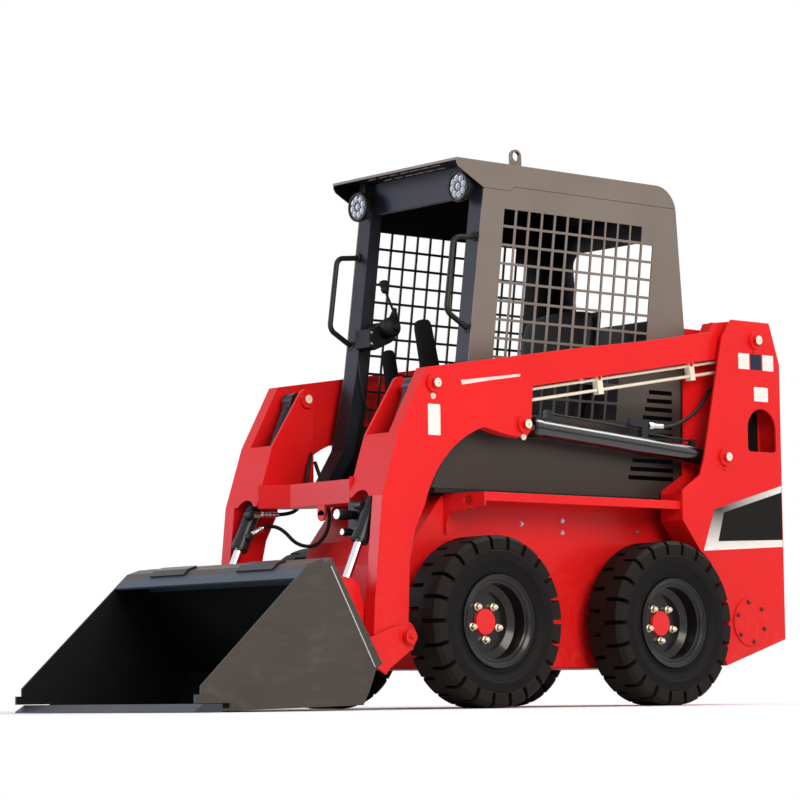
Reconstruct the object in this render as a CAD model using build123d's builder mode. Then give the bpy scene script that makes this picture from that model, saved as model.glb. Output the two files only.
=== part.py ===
from build123d import *
import os
from math import hypot

# Compact wheeled skid steer loader with its lift arms down and a general-purpose bucket flat on the ground.
#
# Millimetres. +X is forward, +Y is the machine's left, +Z is up. The origin is on the ground, on the
# centre plane, at the middle of the overall length. Side-view outlines are (x, z) pairs measured from the
# middle of the wheelbase. Left-hand pieces are modelled, and the right-hand ones are their mirror images.

os.makedirs("parts", exist_ok=True)

# ---------------------------------------------------------------- overall
FRONT_REACH = 1925        # middle of the wheelbase to the cutting edge
REAR_REACH = 1205         # middle of the wheelbase to the rear door's skin
MID_X = (REAR_REACH - FRONT_REACH) / 2
RUN_GAP = 0.1             # radial clearance of a pin or shaft in its bore
SEAT_GAP = 0.3            # clearance of a piece that lies against another

# ---------------------------------------------------------------- wheels
WHEELBASE = 953
WHEEL_R = 330
TYRE_W = 188
TYRE_MID_Y = 479
RIM_SEAT_R = 152
RIM_LIP_R = 180
LUGS = 22
LUG_GROOVE_W = 17
LUG_ROOT_R = 275          # the shoulder grooves are this deep at the sidewall
TREAD_FLOOR_R = 304       # and this deep near the tread's middle
HUB_NOSE_R = 49
AXLE_R = 30
HOUSING_R = 62

# ---------------------------------------------------------------- frame
PLATE = 8
FRAME_Y = 327             # outer face of the side walls
FRAME_BOTTOM_Z = 152
DECK_Z = 829              # top of the decks over the wheels
DECK_Y = 505              # outer face of the deck's lip
DECK_LIP = 34
DECK_FRONT_X = 484        # at the outer edge
DECK_NOSE_X = 536         # at the frame's wall
STEP_Z = 532              # the chain case stands proud below this height
STEP_T = 6
TIE_HOLE = (432, 799)     # y, z
TIE_HOLE_R = 20
REAR_WALL_X = 40 - REAR_REACH
BAY_Y = 360               # outer face of the engine bay's side sheets
# y, z round the slanting plate under the deck's front end
BRACKET = (
    (FRAME_Y, DECK_Z), (DECK_Y, DECK_Z), (DECK_Y, 774), (369, 758), (347, 746), (338, 718), (338, 674),
    (FRAME_Y, 674),
)

# ---------------------------------------------------------------- towers
TOWER_T = 10
TOWER_OUT_Y = 520
TOWER_IN_Y = 395
TOWER_TOP_Z = 1596
TOWER_FRONT_X = -580      # the foot's front edge, where the deck ends
TOWER_REAR_X = REAR_WALL_X - 13
ARCH_GAP = 31             # tyre tread to the tower's wheel arch
BOOM_PIVOT = (-1026, 1516)
LIFT_BASE = (-831, 1018)
PIVOT_PIN_R = 20
LIFT_PIN_R = 18
BOSS_R = 36
BOSS_PROUD = 12
INNER_BOSS_PROUD = 10
PIN_PROUD = 18            # pin ends beyond their bosses

# ---------------------------------------------------------------- lift arms
ARM_OUT_Y = 487
ARM_W = 57
ARM_IN_Y = ARM_OUT_Y - ARM_W
BEARER_Y = 285            # inner face of the plate that carries the tilt cylinder's inner end
BEARER_T = 12
LIFT_EYE = (265, 1101)
TILT_TOP = (732, 1236)
TOOL_PIVOT = (887, 270)
TOOL_PIN_R = 22
TILT_PIN_R = 18
LEG_END_R = 58
BOOM_END_R = 72

# ---------------------------------------------------------------- cylinders
LIFT_Y = ARM_OUT_Y - ARM_W / 2
LIFT_BARREL_R = 38
LIFT_ROD_R = 18
LIFT_NECK = 62            # gland face to the rod's eye, arms down
LIFT_ROD_INSIDE = 620     # length of rod inside the barrel, arms down
TILT_Y = 374
TILT_BARREL_R = 31
TILT_ROD_R = 17
TILT_BARREL_L = 670
TILT_ROD_INSIDE = 410     # length of rod inside the barrel, bucket flat
TILT_RETRACT = 120        # room behind the rod for curling the bucket back
TILT_EYE = (1092, 452)
BASE_EYE_W = 60
LIFT_EYE_R = 34
TILT_EYE_R = 33
TILT_EYE_W = 76

# ---------------------------------------------------------------- bucket and quick-attach frame
BUCKET_HALF_W = 573
BUCKET_BACK = ((1337, 536), (1100, 150))
BACKFRAME_T = 37
BUCKET_T = 8
QA_T = 12

# ---------------------------------------------------------------- cab
CAB_Y = 385
SHEET = 5
CAB_Z = 846
ROOF_Z = 2150
ROOF_JOINT_Z = ROOF_Z - 90
VISOR_FOOT_Z = ROOF_Z - 108
POST_W = 75
POST_D = 55
MESH_PITCH_X = 70.7
MESH_PITCH_Z = 75
MESH_BAR = 10
MESH_TOP = (256, ROOF_Z - 181)
MESH_LEAN = 0.122         # the upright bars lean forward going down, as the posts do


def side(y):
    """A side-view plane at distance y left of the centre plane. A positive extrusion runs to the right."""
    return Plane(origin=(MID_X, y, 0), x_dir=(1, 0, 0), z_dir=(0, -1, 0))


def front(x):
    """A front-view plane x ahead of mid-wheelbase: local x is the machine's left, local y is up."""
    return Plane(origin=(MID_X + x, 0, 0), x_dir=(0, 1, 0), z_dir=(1, 0, 0))


def save(piece, name):
    piece.label = name
    export_step(piece, f"parts/{name}.step")


def save_pair(piece, name):
    """Write a left-hand piece and its mirror image."""
    save(piece, f"{name}_left")
    with BuildPart() as twin:
        mirror(piece, about=Plane.XZ)
    save(twin.part, f"{name}_right")


def between(start, end, share):
    """The point this share of the way from start to end."""
    return tuple(a + (b - a) * share for a, b in zip(start, end))


# ================================================================ wheels
HALF_TYRE = TYRE_W / 2
BEAD_HALF = 72
SHOULDER = 15

# radius, half-width from the rim seat out to the tread
TYRE_SECTION = (
    (RIM_SEAT_R + SEAT_GAP, BEAD_HALF - 0.5),
    (RIM_LIP_R + 2, BEAD_HALF + 5.5),
    (RIM_LIP_R + 28, BEAD_HALF + 9),
    (LUG_ROOT_R - 40, HALF_TYRE),
    (WHEEL_R - SHOULDER, HALF_TYRE),
    (WHEEL_R, HALF_TYRE - SHOULDER),
)

with BuildPart() as tyre:
    with BuildSketch(Plane.XZ):
        Polygon(*TYRE_SECTION, *((r, -w) for r, w in reversed(TYRE_SECTION)), align=None)
    revolve(axis=Axis.Z)
    for face, turn in ((1, 0), (-1, 180 / LUGS)):
        with BuildPart(mode=Mode.PRIVATE) as groove:
            with BuildSketch(Plane.XZ):
                Polygon((LUG_ROOT_R, face * (HALF_TYRE + 1)), (WHEEL_R + 5, face * (HALF_TYRE + 1)),
                        (WHEEL_R + 5, face * 9), (TREAD_FLOOR_R, face * 9), align=None)
            extrude(amount=LUG_GROOVE_W / 2, both=True)
        with PolarLocations(0, LUGS, start_angle=turn):
            add(groove.part, mode=Mode.SUBTRACT)

# radius, distance outboard of the tyre's middle
RIM_SECTION = (
    (HUB_NOSE_R, -11), (HUB_NOSE_R, -3), (118, -3), (146, 12), (146, 68), (173, 80), (173, 84),
    (RIM_LIP_R, 84), (RIM_LIP_R, BEAD_HALF + 6), (RIM_SEAT_R, BEAD_HALF),
    (RIM_SEAT_R, -BEAD_HALF), (RIM_LIP_R, -BEAD_HALF - 6), (RIM_LIP_R, -84), (173, -84), (146, -68),
    (146, 2), (114, -11),
)
HUB_BACK = -23            # inner face of the hub's flange
AXLE_END = -99

with BuildPart() as rim:
    with BuildSketch(Plane.XZ):
        Polygon(*RIM_SECTION, align=None)
    revolve(axis=Axis.Z)
    with BuildSketch(Plane.XZ):
        Polygon((0, 7), (HUB_NOSE_R, 7), (HUB_NOSE_R, -11), (85, -11), (85, HUB_BACK),
                (AXLE_R, HUB_BACK), (AXLE_R, AXLE_END), (0, AXLE_END), align=None)
    revolve(axis=Axis.Z)

# name, x from mid-wheelbase, side
WHEELS = (
    ("front_left", WHEELBASE / 2, 1), ("front_right", WHEELBASE / 2, -1),
    ("rear_left", -WHEELBASE / 2, 1), ("rear_right", -WHEELBASE / 2, -1),
)


def wheel_seat(x, hand):
    """The wheel's own frame: its Z axis points outboard from the middle of the tyre."""
    return Plane(origin=(MID_X + x, hand * TYRE_MID_Y, WHEEL_R), x_dir=(1, 0, 0), z_dir=(0, hand, 0))


for name, x, hand in WHEELS:
    for piece, kind in ((tyre, "tyre"), (rim, "rim")):
        with BuildPart() as placed:
            with Locations(wheel_seat(x, hand)):
                add(piece.part)
        save(placed.part, f"{kind}_{name}")

with BuildPart() as axle_housings:
    housing_l = TYRE_MID_Y + HUB_BACK - 6 - FRAME_Y - STEP_T
    for name, x, hand in WHEELS:
        seat = Plane(origin=(MID_X + x, hand * (FRAME_Y + STEP_T), WHEEL_R), x_dir=(1, 0, 0),
                     z_dir=(0, hand, 0))
        with BuildSketch(seat):
            Circle(HOUSING_R)
        extrude(amount=housing_l)
        with BuildSketch(seat):
            Circle(HOUSING_R + 30)
        extrude(amount=PLATE)
        with BuildSketch(seat.offset(3)):
            Circle(AXLE_R + RUN_GAP)
        extrude(amount=housing_l, mode=Mode.SUBTRACT)
save(axle_housings.part, "axle_housings")

# ================================================================ main frame
FRAME_TOP_Z = DECK_Z - PLATE
NOSE = ((635, FRAME_BOTTOM_Z), (722, 250), (725, 560), (688, 659), (558, FRAME_TOP_Z))
TAIL = ((REAR_WALL_X, 275), (-821, FRAME_BOTTOM_Z))
BAY_TOP_Z = 1540          # top of the engine bay's side sheets
BAY_FRONT_X = -768
HOOD_HINGE = (BAY_FRONT_X + 2, BAY_TOP_Z + 16)
HOOD_KNUCKLE_Y = 290
KNUCKLE_W = 36
KNUCKLE_R = 9
HINGE_PIN_R = 5

with BuildPart() as main_frame:
    with BuildSketch(side(0)):
        Polygon(*TAIL, *NOSE, (REAR_WALL_X, FRAME_TOP_Z), align=None)
    extrude(amount=FRAME_Y, both=True)
    with BuildSketch(side(0)):
        Polygon(*TAIL, *NOSE, (REAR_WALL_X, FRAME_TOP_Z), align=None)
        offset(amount=-PLATE, kind=Kind.INTERSECTION)
        with BuildSketch(mode=Mode.ADD):
            # open above and, over the sill, to the rear
            Polygon((REAR_WALL_X - 20, 500), (REAR_WALL_X - 20, FRAME_TOP_Z + 20), (545, FRAME_TOP_Z + 20),
                    (549, FRAME_TOP_Z - 20), (REAR_WALL_X + 20, FRAME_TOP_Z - 20), (REAR_WALL_X + 20, 500),
                    align=None)
    extrude(amount=FRAME_Y - PLATE, both=True, mode=Mode.SUBTRACT)
    for hand in (1, -1):
        # the chain case, proud of the wall
        with BuildSketch(side(hand * (FRAME_Y + STEP_T))):
            Polygon((REAR_WALL_X + 15, STEP_Z), (REAR_WALL_X + 15, 274), (-821, FRAME_BOTTOM_Z + 4),
                    (620, FRAME_BOTTOM_Z + 4), (685, 240), (685, STEP_Z), align=None)
        extrude(amount=hand * (STEP_T + 2))
        # the engine bay's side sheet, on a flange along the wall
        with BuildSketch(side(hand * BAY_Y)):
            Polygon((REAR_WALL_X, FRAME_TOP_Z - PLATE), (BAY_FRONT_X, FRAME_TOP_Z - PLATE),
                    (BAY_FRONT_X, BAY_TOP_Z), (REAR_WALL_X, BAY_TOP_Z), align=None)
        extrude(amount=hand * PLATE)
        with BuildSketch(side(hand * BAY_Y)):
            Polygon((REAR_WALL_X, FRAME_TOP_Z - PLATE), (BAY_FRONT_X, FRAME_TOP_Z - PLATE),
                    (BAY_FRONT_X, FRAME_TOP_Z), (REAR_WALL_X, FRAME_TOP_Z), align=None)
        extrude(amount=hand * (BAY_Y - FRAME_Y + PLATE))
    # the bulkhead under the cab's rear edge
    with BuildSketch(front(BAY_FRONT_X)):
        with Locations((0, (FRAME_BOTTOM_Z + BAY_TOP_Z) / 2)):
            Rectangle(2 * FRAME_Y - PLATE, BAY_TOP_Z - FRAME_BOTTOM_Z - PLATE)
        with Locations((0, (FRAME_TOP_Z + BAY_TOP_Z) / 2)):
            Rectangle(2 * BAY_Y - PLATE, BAY_TOP_Z - FRAME_TOP_Z)
    extrude(amount=-PLATE)
    # knuckles and pins that the engine hood swings on
    for hand in (1, -1):
        with BuildSketch(side(hand * (HOOD_KNUCKLE_Y - KNUCKLE_W))):
            with Locations(HOOD_HINGE):
                Circle(KNUCKLE_R)
            Polygon((BAY_FRONT_X - PLATE, BAY_TOP_Z - 30), (BAY_FRONT_X, BAY_TOP_Z - 30),
                    (HOOD_HINGE[0] + 6, HOOD_HINGE[1]), (HOOD_HINGE[0] - 6, HOOD_HINGE[1]), align=None)
        extrude(amount=hand * KNUCKLE_W)
        with BuildSketch(side(hand * (HOOD_KNUCKLE_Y + KNUCKLE_W / 2))):
            with Locations(HOOD_HINGE):
                Circle(HINGE_PIN_R)
        extrude(amount=hand * 2 * KNUCKLE_W)
save(main_frame.part, "main_frame")

DECK_REAR_X = TOWER_FRONT_X + SEAT_GAP
BRACKET_T = 10
bracket_run = DECK_Y - FRAME_Y
bracket_lean = hypot(bracket_run, DECK_NOSE_X - DECK_FRONT_X) / bracket_run

with BuildPart() as fender_decks:
    for hand in (1, -1):
        with BuildSketch(Plane.XY.offset(DECK_Z - PLATE)):
            Polygon((MID_X + DECK_REAR_X, hand * FRAME_Y), (MID_X + DECK_NOSE_X, hand * FRAME_Y),
                    (MID_X + DECK_FRONT_X, hand * DECK_Y), (MID_X + DECK_REAR_X, hand * DECK_Y), align=None)
        extrude(amount=PLATE)
        with BuildSketch(side(hand * DECK_Y)):
            Polygon((DECK_REAR_X, DECK_Z - DECK_LIP), (DECK_FRONT_X + BRACKET_T / 2, DECK_Z - DECK_LIP),
                    (DECK_FRONT_X + BRACKET_T / 2, DECK_Z), (DECK_REAR_X, DECK_Z), align=None)
        extrude(amount=hand * PLATE)
        # the slanting plate under the front end, with its tie-down hole and the arch over the tyre
        bracket = Plane(origin=(MID_X + DECK_NOSE_X, hand * FRAME_Y, 0),
                        x_dir=(DECK_FRONT_X - DECK_NOSE_X, hand * bracket_run, 0),
                        z_dir=(hand * bracket_run, DECK_NOSE_X - DECK_FRONT_X, 0))
        with BuildSketch(bracket):
            Polygon(*(((y - FRAME_Y) * bracket_lean, z) for y, z in BRACKET), align=None)
            with Locations(((TIE_HOLE[0] - FRAME_Y) * bracket_lean, TIE_HOLE[1])):
                Circle(TIE_HOLE_R, mode=Mode.SUBTRACT)
        extrude(amount=hand * BRACKET_T)
save(fender_decks.part, "fender_decks")

SILL_Z = (285, 485)
SILL_T = 14
with BuildPart() as rear_sill:
    with BuildSketch(front(REAR_WALL_X)):
        with Locations((0, (SILL_Z[0] + SILL_Z[1]) / 2)):
            Rectangle(2 * (TOWER_IN_Y - 1), SILL_Z[1] - SILL_Z[0])
    extrude(amount=-SILL_T)
save(rear_sill.part, "rear_sill")

# ================================================================ towers
TOWER_BACK = (
    (-893, TOWER_TOP_Z), (TOWER_REAR_X + 59, TOWER_TOP_Z), (TOWER_REAR_X, 1424), (TOWER_REAR_X, 268),
    (-821, 159), (-676, 631), (TOWER_FRONT_X, 751), (TOWER_FRONT_X, 873),
)
OUTER_EDGE = ((-685, 939), (-710, 1001), (-833, 1523))
INNER_EDGE = ((-703, 946), (-711, 1077), (-719, 1335), (-825, 1548))
TOWER_DEPTH = TOWER_OUT_Y - TOWER_IN_Y
# x, width, foot, top of the arched head
ACCESS = (REAR_WALL_X + 103, 171, 1049, 1230)
COVER = (REAR_WALL_X + 201, 339, 100)  # x, z, radius
PAD_REAR_X = REAR_WALL_X + 15         # the pads that join the inner plate to the frame
PAD_FRONT_X = -870
PAD_Z = ((320, STEP_Z - 12, FRAME_Y + STEP_T), (STEP_Z + 12, FRAME_TOP_Z - 40, FRAME_Y))


def tower_outline(front_edge):
    Polygon(*TOWER_BACK, *front_edge, align=None)
    with Locations((-WHEELBASE / 2, WHEEL_R)):
        Circle(WHEEL_R + ARCH_GAP, mode=Mode.SUBTRACT)


with BuildPart() as tower:
    with BuildSketch(side(TOWER_OUT_Y)):
        tower_outline(OUTER_EDGE)
        access_x, access_w, access_foot, access_head = ACCESS
        spring = access_head - access_w / 2
        with Locations((access_x, spring)):
            Circle(access_w / 2, mode=Mode.SUBTRACT)
        with Locations((access_x, (access_foot + spring) / 2)):
            RectangleRounded(access_w, spring - access_foot, 16, mode=Mode.SUBTRACT)
        with Locations((access_x, spring - 20)):
            Rectangle(access_w, 40, mode=Mode.SUBTRACT)
    extrude(amount=TOWER_T)
    with BuildSketch(side(TOWER_IN_Y + TOWER_T)):
        tower_outline(INNER_EDGE)
    extrude(amount=TOWER_T)
    # the walls that close the box at the rear, below and along the wheel arch
    with BuildSketch(side(TOWER_OUT_Y - TOWER_T / 2)):
        tower_outline(OUTER_EDGE)
        with BuildSketch(mode=Mode.SUBTRACT):
            tower_outline(OUTER_EDGE)
            offset(amount=-PLATE, kind=Kind.INTERSECTION)
        Polygon((TOWER_REAR_X + 18, TOWER_TOP_Z + 9), (TOWER_REAR_X + 18, 1440), (-840, 860), (-560, 860),
                (-560, TOWER_TOP_Z + 9), align=None, mode=Mode.SUBTRACT)
    extrude(amount=TOWER_DEPTH - TOWER_T)
    for low, high, wall_y in PAD_Z:
        with BuildSketch(side(TOWER_IN_Y + TOWER_T / 2)):
            with Locations(((PAD_REAR_X + PAD_FRONT_X) / 2, (low + high) / 2)):
                Rectangle(PAD_FRONT_X - PAD_REAR_X, high - low)
        extrude(amount=TOWER_IN_Y + TOWER_T / 2 - wall_y)
    # pins with their bosses
    for pin, pin_r in ((BOOM_PIVOT, PIVOT_PIN_R), (LIFT_BASE, LIFT_PIN_R)):
        with BuildSketch(side(TOWER_OUT_Y + BOSS_PROUD)):
            with Locations(pin):
                Circle(BOSS_R)
        extrude(amount=BOSS_PROUD + 1)
        with BuildSketch(side(TOWER_OUT_Y + BOSS_PROUD + PIN_PROUD)):
            with Locations(pin):
                Circle(pin_r)
        extrude(amount=BOSS_PROUD + PIN_PROUD + TOWER_DEPTH)
    with BuildSketch(side(TOWER_OUT_Y + PLATE)):
        with Locations(COVER[:2]):
            Circle(COVER[2])
    extrude(amount=PLATE + 1)
save_pair(tower.part, "tower")

# ================================================================ lift arms
KNEE = (766, 1296)
PAD_TOP = (908, 1043)
PAD_FOOT = (990, 800)
BOOM_TOP = ((-905, 1591), (-812, 1580), (-790, 1540), (-443, 1481), (-47, 1424))
LEG_FRONT = ((1030, 407), (1037, 277), (960, 212))
LEG_REAR = ((857, 559), (830, 673), (779, 769))
CROTCH = ((665, 964), (473, 1081))
ROD_FORK = ((364, 1059), (300, 1052), (250, 1052), (226, 1081))
BOOM_UNDER = ((212, 1255), (-823, 1427))
PIVOT_BOSS_R = 46
ROD_SLOT = ((130, 1030), (130, 1150), (200, 1190), (330, 1190), (330, 1030))
GUSSET_T = 8
COVER_T = 5
COVER_NOTCH_R = 62
BEARER_END_R = 42

with BuildPart() as arm:
    with BuildSketch(side(ARM_OUT_Y)):
        leg_foot = (TOOL_PIVOT[0], TOOL_PIVOT[1] - LEG_END_R)
        leg_heel = (TOOL_PIVOT[0] - 20, TOOL_PIVOT[1] + LEG_END_R)
        end_low = (BOOM_PIVOT[0] + 10, BOOM_PIVOT[1] - BOOM_END_R)
        end_high = (BOOM_PIVOT[0] + 10, BOOM_PIVOT[1] + BOOM_END_R)
        with BuildLine():
            Polyline(*BOOM_TOP, KNEE, PAD_TOP, PAD_FOOT, *LEG_FRONT, leg_foot)
            ThreePointArc(leg_foot, (TOOL_PIVOT[0] - LEG_END_R, TOOL_PIVOT[1]), leg_heel)
            Polyline(leg_heel, *LEG_REAR)
            ThreePointArc(LEG_REAR[-1], *CROTCH)
            Polyline(CROTCH[-1], *ROD_FORK, *BOOM_UNDER, end_low)
            ThreePointArc(end_low, (BOOM_PIVOT[0] - BOOM_END_R, BOOM_PIVOT[1]), end_high)
            Line(end_high, BOOM_TOP[0])
        make_face()
    extrude(amount=ARM_W)
    # the fork for the lift cylinder's rod
    with BuildSketch(side(ARM_OUT_Y - GUSSET_T)):
        Polygon(*ROD_SLOT, align=None)
    extrude(amount=ARM_W - 2 * GUSSET_T, mode=Mode.SUBTRACT)
    # spacer boss on the boom's rear end, between the tower's plates
    with BuildSketch(side(TOWER_OUT_Y - TOWER_T - 1)):
        with Locations(BOOM_PIVOT):
            Circle(PIVOT_BOSS_R)
    extrude(amount=TOWER_DEPTH - 2 * TOWER_T - 2)
    with BuildSketch(side(TOWER_OUT_Y)):
        with Locations(BOOM_PIVOT):
            Circle(PIVOT_PIN_R + RUN_GAP)
    extrude(amount=TOWER_DEPTH, mode=Mode.SUBTRACT)
    # the bore for the tool's pivot pin
    with BuildSketch(side(ARM_OUT_Y + 1)):
        with Locations(TOOL_PIVOT):
            Circle(TOOL_PIN_R + RUN_GAP)
    extrude(amount=ARM_W + 2, mode=Mode.SUBTRACT)
    # the inner bearer plate, with the cover plate in front of the tilt cylinder
    with BuildSketch(side(BEARER_Y + BEARER_T)):
        Polygon((700, 1236), (700, 900), (745, 800), PAD_FOOT, PAD_TOP, (770, 1254), align=None)
        with Locations(TILT_TOP):
            Circle(BEARER_END_R)
    extrude(amount=BEARER_T)
    with BuildSketch(side(ARM_IN_Y + 1)):
        Polygon(PAD_TOP, PAD_FOOT, (PAD_FOOT[0] - COVER_T, PAD_FOOT[1] - 2),
                (PAD_TOP[0] - COVER_T, PAD_TOP[1] - 2), align=None)
    extrude(amount=ARM_IN_Y + 1 - BEARER_Y)
    # the round notch that clears the cylinder when the bucket tips
    with BuildSketch(front(800)):
        with Locations(((ARM_IN_Y + BEARER_Y) / 2, 764)):
            Circle(COVER_NOTCH_R)
    extrude(amount=240, mode=Mode.SUBTRACT)
    # the tilt cylinder's upper pin, and the bosses outside
    with BuildSketch(side(BEARER_Y + 1)):
        with Locations(TILT_TOP):
            Circle(BOSS_R)
    extrude(amount=INNER_BOSS_PROUD + 1)
    with BuildSketch(side(ARM_OUT_Y + BOSS_PROUD)):
        with Locations(TILT_TOP, LIFT_EYE):
            Circle(BOSS_R)
    extrude(amount=BOSS_PROUD + 1)
    with BuildSketch(side(ARM_OUT_Y + BOSS_PROUD + PIN_PROUD)):
        with Locations(TILT_TOP):
            Circle(TILT_PIN_R)
    extrude(amount=ARM_OUT_Y + BOSS_PROUD + PIN_PROUD - BEARER_Y + INNER_BOSS_PROUD + 4)
    with BuildSketch(side(ARM_OUT_Y + BOSS_PROUD + PIN_PROUD)):
        with Locations(LIFT_EYE):
            Circle(LIFT_PIN_R)
    extrude(amount=PIN_PROUD + 4)
save_pair(arm.part, "arm")

CROSS_Z = 790
CROSS_H = 92
CROSS_KINK_Y = 183        # its ends turn forward outboard of this
CROSS_FRONT_X = (900, 982)
CROSS_REAR_X = (785, 860)
with BuildPart() as arm_crossmember:
    with BuildSketch(Plane.XY.offset(CROSS_Z)):
        ends = ((MID_X + CROSS_FRONT_X[0], CROSS_KINK_Y), (MID_X + CROSS_FRONT_X[1], BEARER_Y),
                (MID_X + CROSS_REAR_X[1], BEARER_Y), (MID_X + CROSS_REAR_X[0], CROSS_KINK_Y))
        Polygon(*ends, *((x, -y) for x, y in reversed(ends)), align=None)
    extrude(amount=CROSS_H)
save(arm_crossmember.part, "arm_crossmember")

# ================================================================ hydraulic cylinders


def cylinder_axis(start, end, y):
    """A plane at the start pin, its local x along the cylinder and its local y across the machine."""
    run = (end[0] - start[0], 0, end[1] - start[1])
    return Plane(origin=(MID_X + start[0], y, start[1]), x_dir=run, z_dir=(0, -1, 0))


GLAND_L = 40


def make_cylinder(name, start, end, y, barrel_r, rod_r, barrel_l, rod_inside, bore_depth, eye_w, eye_r):
    reach = hypot(end[0] - start[0], end[1] - start[1])
    axis = cylinder_axis(start, end, y)
    along = Plane(origin=axis.origin, x_dir=(0, 1, 0), z_dir=axis.x_dir)
    pin_r = LIFT_PIN_R if name == "lift" else TILT_PIN_R
    with BuildPart() as barrel:
        with BuildSketch(along.offset(eye_r)):
            Circle(barrel_r)
        extrude(amount=barrel_l - eye_r)
        with BuildSketch(along.offset(barrel_l - GLAND_L)):
            Circle(barrel_r + 3)
        extrude(amount=GLAND_L - 6)
        with BuildSketch(along.offset(10)):
            Rectangle(BASE_EYE_W * 0.8, 1.5 * eye_r)
        extrude(amount=eye_r)
        with BuildSketch(axis.offset(-BASE_EYE_W / 2)):
            Circle(eye_r)
        extrude(amount=BASE_EYE_W)
        with BuildSketch(axis.offset(-BASE_EYE_W / 2 - 1)):
            Circle(pin_r + RUN_GAP)
        extrude(amount=BASE_EYE_W + 2, mode=Mode.SUBTRACT)
        with BuildSketch(along.offset(barrel_l - bore_depth)):
            Circle(rod_r + RUN_GAP)
        extrude(amount=bore_depth + 1, mode=Mode.SUBTRACT)
    save_pair(barrel.part, f"{name}_barrel")
    with BuildPart() as rod:
        with BuildSketch(along.offset(barrel_l - rod_inside)):
            Circle(rod_r)
        extrude(amount=reach - barrel_l + rod_inside)
        with BuildSketch(Plane(origin=axis.from_local_coords((reach, 0, -eye_w / 2)), z_dir=axis.z_dir)):
            Circle(eye_r)
        extrude(amount=eye_w)
    save_pair(rod.part, f"{name}_rod")


lift_reach = hypot(LIFT_EYE[0] - LIFT_BASE[0], LIFT_EYE[1] - LIFT_BASE[1])
make_cylinder("lift", LIFT_BASE, LIFT_EYE, LIFT_Y, LIFT_BARREL_R, LIFT_ROD_R, lift_reach - LIFT_NECK,
              LIFT_ROD_INSIDE, LIFT_ROD_INSIDE + 10, ARM_W - 2 * GUSSET_T - 2 * SEAT_GAP, LIFT_EYE_R)
make_cylinder("tilt", TILT_TOP, TILT_EYE, TILT_Y, TILT_BARREL_R, TILT_ROD_R, TILT_BARREL_L,
              TILT_ROD_INSIDE, TILT_ROD_INSIDE + TILT_RETRACT, TILT_EYE_W, TILT_EYE_R)

# ================================================================ hydraulic pipes
PIPE_R = 6.5
PIPE_DROPS = (11, 54)     # centres of the two pipes below the boom
PIPE_REAR_X = -853
PIPE_FRONT_X = (-75, 214)
CLAMP_X = (-694, -165)
CLAMP_W = 28
CLAMP_T = 30
CLAMP_H = 72
UNDER_FRONT, UNDER_REAR = BOOM_UNDER
under = cylinder_axis(UNDER_REAR, UNDER_FRONT, LIFT_Y)
under_stretch = 1 / under.x_dir.X


def square_to(plane, along, up):
    """A plane square to this one's local x, at this distance along it and this height above it."""
    return Plane(origin=plane.from_local_coords((along, up, 0)), x_dir=(0, 1, 0), z_dir=plane.x_dir)


with BuildPart() as boom_pipes:
    rear = (PIPE_REAR_X - UNDER_REAR[0]) * under_stretch
    for drop, front_x in zip(PIPE_DROPS, PIPE_FRONT_X):
        with BuildSketch(square_to(under, rear, -drop)):
            Circle(PIPE_R)
        extrude(amount=(front_x - PIPE_REAR_X) * under_stretch)
    for x in CLAMP_X:
        with BuildSketch(under.offset(-CLAMP_T / 2)):
            with Locations(((x - UNDER_REAR[0]) * under_stretch, -SEAT_GAP - CLAMP_H / 2)):
                Rectangle(CLAMP_W, CLAMP_H)
        extrude(amount=CLAMP_T)
    # the upper pipe turns up into the boom
    bend_h = PIPE_DROPS[0] + PIPE_R
    with BuildSketch(under.offset(-PIPE_R)):
        with Locations(((PIPE_FRONT_X[0] - UNDER_REAR[0]) * under_stretch, -SEAT_GAP - bend_h / 2)):
            Rectangle(2 * PIPE_R, bend_h)
    extrude(amount=2 * PIPE_R)
save_pair(boom_pipes.part, "boom_pipes")

# the lift cylinder's own pipe: along and above the cylinder's axis, from the base pin
LINE_R = 4.5
LINE_W = 22
LINE_UP = (66, 55)        # centres of the front and rear runs
GLAND_PORT = (928, 962, 78)
LINE_PLATE = (396, 432, 108)
LINE_BLOCK = (421, 500, 74, 103)
LINE_REAR = 120
lift_axis = cylinder_axis(LIFT_BASE, LIFT_EYE, LIFT_Y)

with BuildPart() as lift_pipes:
    with BuildSketch(lift_axis.offset(-LINE_W / 2)):
        for start, end, top in (GLAND_PORT, LINE_PLATE):
            with Locations(((start + end) / 2, top / 2)):
                Rectangle(end - start, top)
        with Locations(((LINE_BLOCK[0] + LINE_BLOCK[1]) / 2, (LINE_BLOCK[2] + LINE_BLOCK[3]) / 2)):
            Rectangle(LINE_BLOCK[1] - LINE_BLOCK[0], LINE_BLOCK[3] - LINE_BLOCK[2])
    extrude(amount=LINE_W)
    with BuildSketch(square_to(lift_axis, LINE_PLATE[0], LINE_UP[0])):
        Circle(LINE_R)
    extrude(amount=GLAND_PORT[0] + 2 - LINE_PLATE[0])
    with BuildSketch(square_to(lift_axis, LINE_REAR, LINE_UP[1])):
        Circle(LINE_R)
    extrude(amount=LINE_PLATE[0] + 2 - LINE_REAR)
    with BuildSketch(square_to(lift_axis, LINE_REAR, (LIFT_BARREL_R + LINE_UP[1]) / 2)):
        Rectangle(LINE_W, LINE_UP[1] - LIFT_BARREL_R + 3 * LINE_R)
    extrude(amount=LINE_W)
    # seated round the barrel
    with BuildSketch(square_to(lift_axis, 0, 0)):
        Circle(LIFT_BARREL_R + SEAT_GAP)
    extrude(amount=GLAND_PORT[1] + 1, mode=Mode.SUBTRACT)
    split(bisect_by=Plane(origin=lift_axis.origin, x_dir=lift_axis.x_dir, z_dir=lift_axis.y_dir),
          keep=Keep.TOP)
save_pair(lift_pipes.part, "lift_pipes")

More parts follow.
